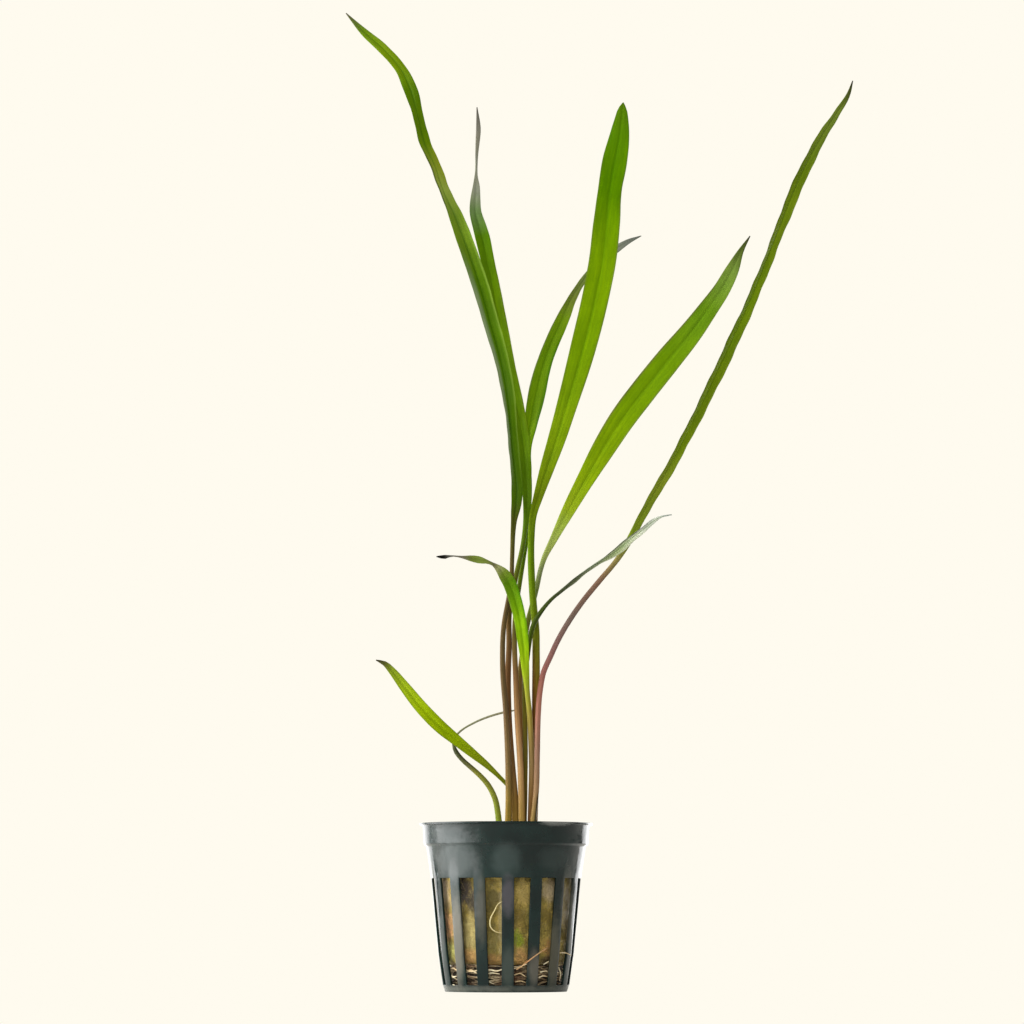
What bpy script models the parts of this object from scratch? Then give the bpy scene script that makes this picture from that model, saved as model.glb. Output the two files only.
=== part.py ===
"""A potted cryptocoryne: ten strap leaves growing out of a wool plug in a small slotted net pot.

Metres, +Z up. The origin is the centre of the pot's underside, and the plant is seen from -Y.
"""

import math

import bmesh
import bpy
import numpy as np
from mathutils import Matrix, Vector

MM = 0.001
GAP = 0.3 * MM

# Net pot
POT_HEIGHT = 49.2 * MM
LIP_RADIUS = 25.5 * MM
LIP_THICKNESS = 0.6 * MM
COLLAR_TOP_RADIUS = 24.5 * MM
COLLAR_FOOT_RADIUS = 24.15 * MM
COLLAR_FOOT_Z = 43.0 * MM
BAND_TOP_RADIUS = 23.4 * MM
BAND_TOP_Z = 42.4 * MM
BASE_RADIUS = 17.9 * MM
WALL = 0.8 * MM
FLOOR = 1.2 * MM
RIBS = 16
RIB_TURN = math.radians(1.5)
SLOT_COLUMNS = 3
HUB_RADIUS = 4.0 * MM
FLOOR_SLOT_START = 6.0 * MM
FLOOR_SLOT_END = 15.5 * MM
FLOOR_SLOT_LEVEL = 1

# Each wall level between the floor and the collar: height, outer radius, and the rib's share of the pitch
SLOT_LEVELS = [
    (2.0 * MM, 18.6 * MM, 0.48),
    (11.0 * MM, 19.9 * MM, 0.46),
    (22.0 * MM, 20.95 * MM, 0.44),
    (33.0 * MM, 22.0 * MM, 0.42),
]

# Wool plug and root mat
WOOL_FOOT_Z = 8.0 * MM
WOOL_TOP_Z = 44.5 * MM
WOOL_FOOT_RADIUS = 17.5 * MM
WOOL_TOP_RADIUS = 20.6 * MM
WOOL_SIDES = 32
WOOL_RINGS = 5
WOOL_LUMP = 0.35 * MM
MAT_FOOT_Z = FLOOR + GAP
MAT_TOP_Z = WOOL_FOOT_Z - GAP
MAT_FOOT_RADIUS = 16.6 * MM
MAT_TOP_RADIUS = 17.3 * MM

# Crown, the short rhizome that carries the stems
CROWN_CENTRE = (3.6 * MM, -0.1 * MM)
CROWN_HALF_LENGTH = 7.8 * MM
CROWN_HALF_DEPTH = 5.0 * MM
CROWN_TOP_Z = 47.0 * MM
CROWN_DEPTH = 8.0 * MM
CROWN_SIDES = 20

# The crown's half width and height as shares of its greatest, from its blunt root end up
CROWN_SHAPE = [(0.35, 0.0), (0.72, 0.16), (0.95, 0.45), (1.0, 0.72), (0.97, 1.0)]

# The pocket is a little larger than the gap asks, because the crown's sloping sides come closer
POCKET_GROWTH = 1.25 * GAP

# Leaves, in millimetres
STEM_FOOT_Z = CROWN_TOP_Z / MM + 0.3
BLADE_THICKNESS = 0.5
THINNING_LENGTH = 14.0
TIP_WIDTH = 0.3
RING_SIDES = 8
RING_SPACING = 5.5
FINE_SPACING = 2.5
FINE_LEAVES = ("leaf_bent_left", "leaf_curled_thread")

# Each leaf in millimetres. A stem is a list of x, y, z points, as wide as it is thick, and it narrows
# evenly from its foot to its top. A blade is a list of x, y, z, width, roll and fold: roll turns the blade
# about its own length, away from facing the front, and fold lifts both margins towards the back, in degrees.
LEAVES = {
    "leaf_tall_left": {
        "stem_widths": (2.0, 1.3),
        "stem": [
            (0.6, -2.0, STEM_FOOT_Z), (0.8, -2.0, 56.0), (0.7, -2.0, 65.0), (0.0, -2.0, 81.5),
            (-1.0, -2.4, 95.5), (-0.65, -2.2, 107.5), (0.9, -1.0, 116.5), (1.6, 0.0, 121.5),
            (1.8, 1.0, 127.5),
        ],
        "blade": [
            (2.3, 2.3, 139.0, 1.95, 20, -4), (3.05, 3.0, 145.5, 3.5, 20, -15),
            (1.9, 5.0, 160.5, 4.1, 38, -22), (-0.85, 8.0, 184.5, 5.0, 20, -25),
            (-5.1, 10.0, 201.0, 5.5, 12, -26), (-8.6, 12.0, 213.5, 5.7, 8, -26),
            (-12.85, 14.0, 226.0, 5.4, 10, -24), (-15.4, 15.5, 233.0, 5.0, 22, -20),
            (-19.3, 17.0, 242.0, 4.6, 44, -15), (-21.8, 18.0, 249.5, 4.6, 41, -12),
            (-24.9, 19.0, 256.5, 4.4, 36, -10), (-26.75, 20.0, 264.0, 4.1, 38, -10),
            (-29.4, 22.0, 274.0, 4.4, 14, -8), (-32.3, 23.0, 280.5, 3.65, 14, -8),
            (-37.6, 24.0, 286.9, 3.3, 8, -6), (-44.15, 25.0, 293.1, 2.2, 0, -5),
            (-49.3, 25.0, 298.6, TIP_WIDTH, 0, 0),
        ],
    },
    "leaf_withered_tip": {
        "stem_widths": (2.2, 1.4),
        "stem": [
            (2.75, -0.2, STEM_FOOT_Z), (2.6, 0.0, 56.0), (1.85, 0.15, 65.0), (0.75, 0.15, 81.5),
            (0.6, 0.1, 93.5), (0.9, 0.5, 101.5), (1.0, 1.0, 112.0), (2.0, 2.0, 118.0),
            (3.25, 3.0, 124.0), (5.0, 4.3, 132.0),
        ],
        "blade": [
            (6.0, 6.0, 140.0, 1.8, 10, 0), (6.3, 8.0, 146.0, 2.7, 12, -8),
            (5.9, 11.0, 156.0, 3.4, 12, -12), (4.3, 15.0, 169.5, 4.3, 10, -14),
            (0.6, 20.0, 187.0, 4.9, 8, -14), (-3.4, 26.0, 209.5, 4.7, 8, -14),
            (-5.5, 30.0, 221.0, 4.4, 8, -14), (-7.5, 33.0, 230.5, 4.7, 12, -14),
            (-9.6, 35.5, 239.0, 3.9, 15, -14), (-9.4, 38.0, 246.0, 2.7, 28, -12),
            (-9.3, 40.0, 252.5, 1.2, 55, -8), (-9.05, 42.0, 259.5, 1.2, 30, 0),
            (-8.65, 44.0, 266.5, 1.5, 10, 0), (-9.1, 45.0, 273.4, TIP_WIDTH, 0, 0),
        ],
    },
    "leaf_broad_upright": {
        "stem_widths": (2.7, 2.0),
        "stem": [
            (7.95, 2.05, STEM_FOOT_Z), (8.3, 1.8, 57.0), (8.85, 1.2, 74.0), (8.85, 0.7, 85.5),
            (8.9, -0.4, 99.0), (8.8, -1.2, 106.5), (8.25, -1.8, 112.0), (7.8, -2.2, 118.0),
            (7.4, -2.6, 127.0),
        ],
        "blade": [
            (7.45, -3.0, 133.0, 2.0, 0, 0), (8.1, -3.5, 140.5, 2.2, 0, -4),
            (9.5, -4.0, 145.5, 2.9, 0, -6), (12.0, -5.0, 153.5, 4.2, 0, -8),
            (15.0, -6.0, 162.5, 5.3, 0, -8), (17.6, -8.0, 171.0, 6.0, 0, -8),
            (22.65, -12.0, 188.5, 7.6, 0, -8), (26.8, -16.5, 205.5, 8.0, 0, -8),
            (28.4, -19.0, 214.0, 8.1, 0, -8), (29.45, -22.0, 224.0, 8.0, 4, -8),
            (30.4, -25.0, 234.0, 7.2, 12, -7), (31.9, -27.0, 242.5, 7.3, 4, -6),
            (33.0, -28.0, 248.0, 6.2, 0, -5), (33.8, -29.0, 254.0, 4.1, 0, -3),
            (34.1, -29.6, 257.4, 2.2, 0, 0), (34.3, -30.0, 258.9, TIP_WIDTH, 0, 0),
        ],
    },
    "leaf_short_back": {
        "stem_widths": (2.0, 1.25),
        "stem": [
            (4.7, -2.0, STEM_FOOT_Z), (4.3, -2.0, 65.0), (3.3, -2.0, 81.5), (2.85, -2.0, 93.0),
            (2.5, -1.5, 101.5), (2.7, -0.1, 109.5), (3.3, 2.6, 115.5), (4.2, 5.0, 121.5),
            (5.2, 7.0, 128.0), (6.2, 8.8, 134.5),
        ],
        "blade": [
            (6.8, 11.0, 143.0, 1.5, 0, 0), (6.6, 14.0, 155.5, 2.2, 10, -12),
            (6.1, 16.0, 162.0, 3.0, 15, -18), (7.3, 18.0, 170.0, 4.3, 12, -20),
            (8.8, 20.0, 178.0, 5.6, 10, -20), (11.8, 24.0, 190.5, 4.9, 10, -20),
            (17.0, 28.0, 203.5, 4.4, 15, -20), (20.3, 30.5, 211.0, 3.0, 25, -18),
            (23.9, 33.0, 217.0, 2.2, 30, -14), (27.9, 36.5, 222.2, 2.3, 25, -10),
            (33.9, 41.0, 227.7, 2.5, 0, -6), (38.4, 43.5, 230.9, 1.4, 0, 0),
            (42.0, 45.0, 232.7, TIP_WIDTH, 0, 0),
        ],
    },
    "leaf_broad_right": {
        "stem_widths": (1.9, 1.5),
        "stem": [
            (5.2, 2.2, STEM_FOOT_Z), (5.4, 2.1, 65.0), (4.3, 1.8, 80.0), (4.0, 1.8, 89.0),
            (5.1, 2.0, 101.0), (6.5, 2.4, 109.0), (7.95, 2.2, 114.5), (9.15, 1.5, 119.3),
            (10.3, 0.5, 124.5),
        ],
        "blade": [
            (11.25, 0.0, 127.5, 1.6, 0, 0), (14.0, -1.0, 133.0, 2.3, 0, -5),
            (18.65, -3.0, 141.9, 4.0, 0, -8), (23.5, -5.0, 150.5, 5.3, 0, -9),
            (28.5, -7.0, 159.0, 6.8, 0, -9), (34.2, -9.0, 167.9, 7.7, 0, -9),
            (40.75, -11.5, 176.4, 7.9, 0, -9), (47.7, -14.0, 184.9, 7.7, 0, -9),
            (54.8, -17.0, 193.3, 6.8, 0, -9), (59.3, -19.0, 199.3, 5.8, 0, -9),
            (63.25, -21.0, 204.8, 5.0, 0, -9), (66.3, -23.0, 210.4, 4.0, 0, -8),
            (69.0, -24.0, 216.2, 1.6, 0, -4), (71.5, -25.0, 220.2, TIP_WIDTH, 0, 0),
        ],
    },
    "leaf_far_right": {
        "stem_widths": (1.7, 1.6),
        "stem": [
            (7.7, -2.8, STEM_FOOT_Z), (8.9, -2.8, 59.0), (9.2, -2.8, 70.0), (9.5, -2.6, 81.5),
            (10.1, -2.2, 88.5), (11.2, -1.6, 94.0), (13.1, -1.0, 98.3), (15.4, 0.0, 103.3),
            (18.85, 1.0, 109.3), (23.0, 2.0, 115.3), (27.95, 3.0, 121.4), (33.0, 4.0, 127.5),
        ],
        "blade": [
            (36.9, 5.0, 133.7, 2.1, 15, 0), (41.4, 6.0, 142.6, 3.0, 35, -10),
            (46.7, 7.0, 152.0, 3.9, 42, -15), (51.6, 8.0, 161.0, 4.25, 45, -16),
            (59.45, 10.0, 176.6, 4.8, 46, -16), (66.8, 12.0, 192.0, 5.15, 45, -16),
            (73.85, 14.0, 207.5, 4.8, 47, -16), (79.0, 15.0, 220.1, 4.8, 50, -16),
            (82.6, 16.0, 229.3, 4.9, 50, -14), (86.6, 17.0, 239.0, 4.6, 38, -12),
            (90.5, 18.0, 248.0, 4.6, 42, -12), (95.6, 19.0, 257.7, 3.9, 42, -10),
            (101.5, 19.5, 267.0, 2.4, 38, -6), (104.7, 20.0, 272.0, 1.3, 20, 0),
            (106.1, 20.0, 276.4, TIP_WIDTH, 0, 0),
        ],
    },
    "leaf_silvery_right": {
        "stem_widths": (1.6, 1.4),
        "stem": [
            (5.2, 0.0, STEM_FOOT_Z), (5.5, 0.05, 58.0), (5.7, 0.05, 72.0), (5.55, -0.2, 81.0),
            (5.45, -0.4, 87.0), (5.8, -0.9, 93.5), (6.35, -1.8, 98.5), (6.9, -3.0, 102.6),
            (7.35, -3.8, 105.2), (8.1, -4.2, 107.6), (9.4, -4.5, 110.0),
        ],
        "blade": [
            (13.0, -5.3, 114.6, 1.2, 55, 0), (16.25, -6.3, 117.5, 1.7, 62, -15),
            (19.75, -7.6, 120.4, 2.2, 62, -20), (24.1, -9.0, 123.5, 2.2, 72, -20),
            (28.1, -12.0, 126.0, 2.3, 64, -20), (33.0, -16.0, 129.0, 3.0, 44, -20),
            (36.5, -19.0, 131.7, 2.7, 40, -18), (39.6, -22.0, 133.8, 2.2, 40, -12),
            (42.5, -25.0, 136.0, 1.6, 30, -6), (45.2, -28.0, 137.2, 0.6, 20, 0),
            (47.9, -30.0, 137.5, TIP_WIDTH, 0, 0),
        ],
    },
    "leaf_bent_left": {
        "stem_widths": (1.8, 1.6),
        "stem": [
            (7.2, -0.7, STEM_FOOT_Z), (7.4, -0.9, 56.0), (7.6, -0.9, 65.0), (7.4, -1.2, 73.0),
            (6.9, -2.0, 81.5), (6.2, -3.2, 88.5),
        ],
        "blade": [
            (5.8, -4.2, 93.5, 2.2, 0, 0), (5.3, -5.6, 99.5, 2.9, 0, -10),
            (4.9, -6.6, 103.3, 3.5, 0, -14), (4.3, -7.6, 107.8, 3.7, 0, -16),
            (3.3, -9.0, 112.3, 3.9, 0, -16), (2.2, -10.3, 116.0, 4.0, 0, -16),
            (0.7, -12.3, 119.7, 4.0, 0, -14), (-1.0, -14.6, 121.9, 3.5, 4, -12),
            (-2.4, -16.2, 123.2, 2.2, 15, -10), (-3.7, -17.5, 124.2, 1.1, 30, 0),
            (-5.3, -18.8, 124.8, 1.2, 20, 0), (-7.8, -20.0, 125.25, 2.2, 10, -10),
            (-10.2, -21.0, 125.6, 1.9, 10, -10), (-12.6, -22.2, 125.9, 0.8, 0, 0),
            (-16.0, -23.6, 126.1, 0.5, 0, 0), (-18.0, -24.4, 125.75, 1.2, 0, 0),
            (-20.2, -25.0, 125.8, TIP_WIDTH, 0, 0),
        ],
    },
    "leaf_low_left": {
        "stem_widths": (1.6, 1.3),
        "stem": [(1.5, 2.8, STEM_FOOT_Z), (1.8, 3.2, 52.5), (1.65, 3.2, 56.8), (0.85, 2.9, 60.1)],
        "blade": [
            (-0.6, 2.2, 61.6, 1.2, 0, 0), (-6.2, -0.5, 66.8, 2.0, 0, -8),
            (-9.1, -1.8, 69.1, 2.5, 0, -10), (-14.75, -4.8, 73.6, 3.3, 0, -10),
            (-19.2, -7.0, 77.2, 3.85, 0, -10), (-24.85, -9.5, 82.85, 3.8, 0, -10),
            (-29.8, -12.0, 88.9, 3.1, 0, -8), (-33.6, -13.6, 93.6, 2.1, 0, -6),
            (-35.3, -14.5, 95.3, 1.5, 0, 0), (-38.0, -15.0, 96.4, TIP_WIDTH, 0, 0),
        ],
    },
    "leaf_curled_thread": {
        "stem_widths": (1.9, 1.3),
        "stem": [
            (-1.9, 0.0, STEM_FOOT_Z), (-2.3, 0.0, 51.5), (-3.15, 0.0, 56.2), (-5.35, 0.0, 60.6),
            (-8.45, 0.2, 64.0), (-10.55, 0.6, 65.85), (-13.3, 1.2, 68.4), (-15.0, 2.0, 70.8),
        ],
        "blade": [
            (-15.55, 2.6, 72.6, 0.9, 0, 0), (-15.1, 3.3, 74.8, 0.7, 0, 0), (-13.8, 4.0, 76.3, 0.6, 0, 0),
            (-9.1, 5.5, 79.3, 0.6, 0, 0), (-4.3, 7.0, 81.3, 0.65, 0, 0), (-0.9, 8.0, 82.3, 0.65, 0, 0),
            (3.0, 9.3, 83.1, 0.4, 0, 0),
        ],
    },
}

# Roots that show outside the wool, in millimetres. The loop lies between the wool and the pot's wall, and
# bulges into a slot. The other leaves the root mat, crosses one rib's outside and goes back in.
ROOT_THICKNESS = 0.5
ROOT_SPACING = 1.5
ROOTS = {
    "root_loop": [
        (-0.9, -19.9, 26.3), (-2.3, -19.9, 25.4), (-3.3, -19.9, 23.6), (-4.6, -19.6, 20.6),
        (-4.4, -19.4, 18.7), (-3.2, -19.25, 17.6), (-0.8, -19.0, 17.0),
    ],
    "root_over_rib": [
        (3.0, -17.8, 6.6), (4.6, -18.4, 7.6), (6.4, -19.5, 9.0), (8.4, -18.8, 10.5),
        (10.6, -17.6, 12.0), (12.0, -14.7, 12.8),
    ],
}

# Each finish is a linear RGB colour and a roughness
FINISHES = {
    "pot_plastic": ((0.010, 0.014, 0.014), 0.22),
    "mineral_wool": ((0.20, 0.14, 0.045), 0.95),
    "root_tangle": ((0.42, 0.34, 0.20), 0.85),
    "rhizome": ((0.10, 0.055, 0.025), 0.7),
    "root_skin": ((0.60, 0.50, 0.30), 0.6),
    "green_leaf": ((0.10, 0.23, 0.012), 0.4),
    "dark_leaf": ((0.075, 0.16, 0.018), 0.4),
    "grey_leaf": ((0.16, 0.19, 0.11), 0.4),
    "olive_leaf": ((0.15, 0.17, 0.03), 0.4),
}
LEAF_FINISHES = {
    "leaf_tall_left": "dark_leaf",
    "leaf_far_right": "dark_leaf",
    "leaf_silvery_right": "grey_leaf",
    "leaf_curled_thread": "olive_leaf",
}


def clear_scene():
    for item in list(bpy.data.objects):
        bpy.data.objects.remove(item, do_unlink=True)


def material(finish, owner):
    """A plain material of its own for one sub-part, named after the finish and the sub-part."""
    colour, roughness = FINISHES[finish]
    made = bpy.data.materials.new(finish + "_" + owner)
    made.use_nodes = True
    shader = made.node_tree.nodes["Principled BSDF"]
    shader.inputs["Base Color"].default_value = (*colour, 1.0)
    shader.inputs["Roughness"].default_value = roughness
    shader.inputs["Metallic"].default_value = 0.0
    return made


def add_object(name, mesh_builder, finish, sharp_angle=40.0):
    """Turns a bmesh into a named object with outward normals, smooth shading and its own material."""
    bmesh.ops.recalc_face_normals(mesh_builder, faces=mesh_builder.faces)
    mesh = bpy.data.meshes.new(name)
    mesh_builder.to_mesh(mesh)
    mesh_builder.free()
    mesh.shade_smooth()
    mesh.set_sharp_from_angle(angle=math.radians(sharp_angle))
    mesh.materials.append(material(finish, name))
    made = bpy.data.objects.new(name, mesh)
    bpy.context.scene.collection.objects.link(made)
    return made


def pot_levels():
    """The pot wall from the floor's hub to the collar: outer radius and z, inner radius and z, rib share."""
    floor_share = SLOT_LEVELS[0][2]
    top_share = SLOT_LEVELS[-1][2]
    levels = [
        (HUB_RADIUS, 0.0, HUB_RADIUS, FLOOR, floor_share),
        (FLOOR_SLOT_START, 0.0, FLOOR_SLOT_START, FLOOR, floor_share),
        (FLOOR_SLOT_END, 0.0, FLOOR_SLOT_END, FLOOR, floor_share),
        (BASE_RADIUS, 0.0, BASE_RADIUS - 0.5 * WALL, FLOOR, floor_share),
    ]
    for z, radius, share in SLOT_LEVELS:
        levels.append((radius, z, radius - WALL, z, share))
    for radius, z in ((BAND_TOP_RADIUS, BAND_TOP_Z), (COLLAR_FOOT_RADIUS, COLLAR_FOOT_Z)):
        levels.append((radius, z, radius - WALL, z + 0.5 * WALL, top_share))
    lip_foot_z = POT_HEIGHT - LIP_THICKNESS
    levels.append((COLLAR_TOP_RADIUS, lip_foot_z, COLLAR_TOP_RADIUS - WALL, POT_HEIGHT, top_share))
    return levels


def column_angle(column, share):
    """The angle of one of the pot's upright lines of points: two rib edges, then the lines in the slot."""
    pitch = 2.0 * math.pi / RIBS
    rib, place = divmod(column, SLOT_COLUMNS + 1)
    front = -0.5 * math.pi + RIB_TURN
    if place == 0:
        offset = -0.5 * share
    else:
        offset = 0.5 * share + (1.0 - share) * (place - 1) / SLOT_COLUMNS
    return front + pitch * (rib + offset)


def net_pot():
    """The pot as a pair of skins a wall apart, joined at the lip and around every slot."""
    builder = bmesh.new()
    columns = RIBS * (SLOT_COLUMNS + 1)

    def ring(radius, z, share):
        angles = [column_angle(column, share) for column in range(columns)]
        return [builder.verts.new((radius * math.cos(a), radius * math.sin(a), z)) for a in angles]

    outer = []
    inner = []
    heights = []
    for outer_radius, outer_z, inner_radius, inner_z, share in pot_levels():
        outer.append(ring(outer_radius, outer_z, share))
        inner.append(ring(inner_radius, inner_z, share))
        heights.append(outer_z)
    slot_foot = heights.index(SLOT_LEVELS[0][0])
    slot_top = heights.index(SLOT_LEVELS[-1][0])

    def is_open(level, column):
        rib, place = divmod(column % columns, SLOT_COLUMNS + 1)
        if place == 0:
            return False
        if level == FLOOR_SLOT_LEVEL:
            return rib % 2 == 1
        return slot_foot <= level < slot_top

    def bridge(first, second, start, end):
        """One face between two rings of points, from one column to the next."""
        builder.faces.new((first[start], first[end], second[end], second[start]))

    last = len(outer) - 1
    for level in range(last):
        for column in range(columns):
            after = (column + 1) % columns
            if is_open(level, column):
                continue
            for skin in (outer, inner):
                bridge(skin[level], skin[level + 1], column, after)
            for edge, neighbour in ((column, column - 1), (after, column + 1)):
                if is_open(level, neighbour):
                    corners = (outer[level], outer[level + 1], inner[level + 1], inner[level])
                    builder.faces.new([corner[edge] for corner in corners])
            if is_open(level - 1, column):
                bridge(outer[level], inner[level], column, after)
            if is_open(level + 1, column):
                bridge(outer[level + 1], inner[level + 1], column, after)

    top_share = SLOT_LEVELS[-1][2]
    lip = [
        outer[last],
        ring(LIP_RADIUS, POT_HEIGHT - LIP_THICKNESS, top_share),
        ring(LIP_RADIUS, POT_HEIGHT, top_share),
        inner[last],
    ]
    for below, above in zip(lip, lip[1:]):
        for column in range(columns):
            bridge(below, above, column, (column + 1) % columns)
    builder.faces.new(outer[0])
    builder.faces.new(inner[0])
    unused = [point for point in builder.verts if not point.link_faces]
    bmesh.ops.delete(builder, geom=unused, context="VERTS")
    return add_object("net_pot", builder, "pot_plastic", sharp_angle=30.0)


def turned(builder, rings, sides, lump=0.0, seed=0):
    """A closed solid of rings, each a radius and a height, with lumps of a seeded random size."""
    random = np.random.default_rng(seed)
    made = []
    for radius, z in rings:
        lumps = radius + lump * random.uniform(-1.0, 1.0, sides)
        circle = []
        for side, reach in enumerate(lumps):
            angle = 2.0 * math.pi * side / sides
            circle.append(builder.verts.new((reach * math.cos(angle), reach * math.sin(angle), z)))
        made.append(circle)
    for below, above in zip(made, made[1:]):
        for side in range(sides):
            after = (side + 1) % sides
            builder.faces.new((below[side], below[after], above[after], above[side]))
    builder.faces.new(made[0])
    builder.faces.new(made[-1])


def crown_mesh(builder, growth):
    """The crown's shape, grown outwards by a margin: an oval knob that narrows down to a blunt root end."""
    foot = CROWN_TOP_Z - CROWN_DEPTH - growth
    height = CROWN_DEPTH + 2.0 * growth
    turned(builder, [(share, foot + height * rise) for share, rise in CROWN_SHAPE], CROWN_SIDES)
    stretch = Matrix.Diagonal((CROWN_HALF_LENGTH + growth, CROWN_HALF_DEPTH + growth, 1.0, 1.0))
    place = Matrix.Translation((*CROWN_CENTRE, 0.0))
    bmesh.ops.transform(builder, matrix=place @ stretch, verts=builder.verts)


def crown():
    builder = bmesh.new()
    crown_mesh(builder, 0.0)
    return add_object("crown", builder, "rhizome")


def wool_plug():
    """The plug, lumpy at its side, with a pocket on top that the crown sits in."""
    builder = bmesh.new()
    rings = []
    for step in range(WOOL_RINGS):
        share = step / (WOOL_RINGS - 1)
        radius = WOOL_FOOT_RADIUS + (WOOL_TOP_RADIUS - WOOL_FOOT_RADIUS) * share
        rings.append((radius, WOOL_FOOT_Z + (WOOL_TOP_Z - WOOL_FOOT_Z) * share))
    turned(builder, rings, WOOL_SIDES, WOOL_LUMP, seed=3)
    plug = add_object("wool_plug", builder, "mineral_wool")

    pocket_builder = bmesh.new()
    crown_mesh(pocket_builder, POCKET_GROWTH)
    pocket = add_object("crown_pocket", pocket_builder, "mineral_wool")
    pocket.hide_render = True
    pocket.display_type = "WIRE"
    cut = plug.modifiers.new("crown pocket", "BOOLEAN")
    cut.object = pocket
    cut.operation = "DIFFERENCE"
    cut.solver = "EXACT"
    return plug


def root_mat():
    builder = bmesh.new()
    rings = [(MAT_FOOT_RADIUS, MAT_FOOT_Z), (MAT_TOP_RADIUS, MAT_TOP_Z)]
    turned(builder, rings, WOOL_SIDES, WOOL_LUMP, seed=5)
    return add_object("root_mat", builder, "root_tangle")


def smooth_through(points, spacing):
    """Rows of values on a smooth curve through the given rows, evenly spaced along their x, y, z."""
    points = np.array(points, dtype=float)
    steps = np.linalg.norm(np.diff(points[:, :3], axis=0), axis=1)
    marks = np.concatenate(([0.0], np.cumsum(steps)))
    slopes = np.gradient(points, marks, axis=0)
    count = max(4, int(round(marks[-1] / spacing)))
    rows = []
    for mark in np.linspace(0.0, marks[-1], count + 1):
        span = min(int(np.searchsorted(marks, mark, side="right")) - 1, len(steps) - 1)
        length = steps[span]
        t = (mark - marks[span]) / length
        rows.append(
            (2 * t**3 - 3 * t**2 + 1) * points[span]
            + (t**3 - 2 * t**2 + t) * length * slopes[span]
            + (3 * t**2 - 2 * t**3) * points[span + 1]
            + (t**3 - t**2) * length * slopes[span + 1]
        )
    return np.array(rows)


def leaf_rows(leaf):
    """The leaf's given points as rows of x, y, z, width, thickness, roll and fold, stem first."""
    stem = np.array(leaf["stem"])
    foot_width, top_width = leaf["stem_widths"]
    run = np.concatenate(([0.0], np.cumsum(np.linalg.norm(np.diff(stem, axis=0), axis=1))))
    rows = []
    for point, share in zip(stem, run / run[-1]):
        width = foot_width + (top_width - foot_width) * share
        rows.append((*point, width, width, 0.0, 0.0))
    gone = 0.0
    last = stem[-1]
    for x, y, z, width, roll, fold in leaf["blade"]:
        gone += float(np.linalg.norm(np.array((x, y, z)) - last))
        last = np.array((x, y, z))
        thinned = min(1.0, gone / THINNING_LENGTH)
        thickness = min(width, top_width + (BLADE_THICKNESS - top_width) * thinned)
        rows.append((x, y, z, width, max(thickness, TIP_WIDTH), roll, fold))
    return rows


def lofted(name, rows, finish, level_foot=False):
    """A closed solid of oval rings along the rows, each ring folded about its middle and rolled.

    A level foot starts it with a horizontal ring.
    """
    builder = bmesh.new()
    rings = []
    for index, (x, y, z, width, thickness, roll, fold) in enumerate(rows):
        ahead = Vector(rows[min(index + 1, len(rows) - 1)][:3]) - Vector(rows[max(index - 1, 0)][:3])
        along = Vector((0.0, 0.0, 1.0)) if level_foot and index == 0 else ahead.normalized()
        side = Vector((0.0, 1.0, 0.0)).cross(along).normalized()
        turn = Matrix.Rotation(math.radians(roll), 3, along)
        side = turn @ side
        back = along.cross(side)
        width = max(width, TIP_WIDTH)
        thickness = max(thickness, TIP_WIDTH)
        bend = math.radians(fold)
        ring = []
        for corner in range(RING_SIDES):
            angle = 2.0 * math.pi * corner / RING_SIDES
            across = 0.5 * width * math.cos(angle)
            lift = 0.5 * thickness * math.sin(angle) + abs(across) * math.sin(bend)
            place = Vector((x, y, z)) + side * (across * math.cos(bend)) + back * lift
            ring.append(builder.verts.new(place * MM))
        rings.append(ring)
    for below, above in zip(rings, rings[1:]):
        for corner in range(RING_SIDES):
            after = (corner + 1) % RING_SIDES
            builder.faces.new((below[corner], below[after], above[after], above[corner]))
    builder.faces.new(rings[0])
    builder.faces.new(rings[-1])
    return add_object(name, builder, finish, 60.0)


def leaves():
    made = []
    for name, leaf in LEAVES.items():
        spacing = FINE_SPACING if name in FINE_LEAVES else RING_SPACING
        rows = smooth_through(leaf_rows(leaf), spacing)
        made.append(lofted(name, rows, LEAF_FINISHES.get(name, "green_leaf"), level_foot=True))
    return made


def roots():
    made = []
    for name, points in ROOTS.items():
        given = [(*point, ROOT_THICKNESS, ROOT_THICKNESS, 0.0, 0.0) for point in points]
        made.append(lofted(name, smooth_through(given, ROOT_SPACING), "root_skin"))
    return made


def potted_plant():
    """Everything under one empty at the centre of the pot's underside."""
    clear_scene()
    base = bpy.data.objects.new("potted_cryptocoryne", None)
    bpy.context.scene.collection.objects.link(base)
    pieces = [net_pot(), wool_plug(), root_mat(), crown(), *leaves(), *roots()]
    for piece in pieces:
        piece.parent = base


potted_plant()
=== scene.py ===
"""The looks of a potted cryptocoryne: leaves, roots, wool and net pot, made around its solids.

Metres, +Z up. The camera stands level with the pot and looks along +Y, a little upwards.
"""

import math

import bmesh
import bpy
import numpy as np
from mathutils import Matrix, Vector, noise


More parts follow.
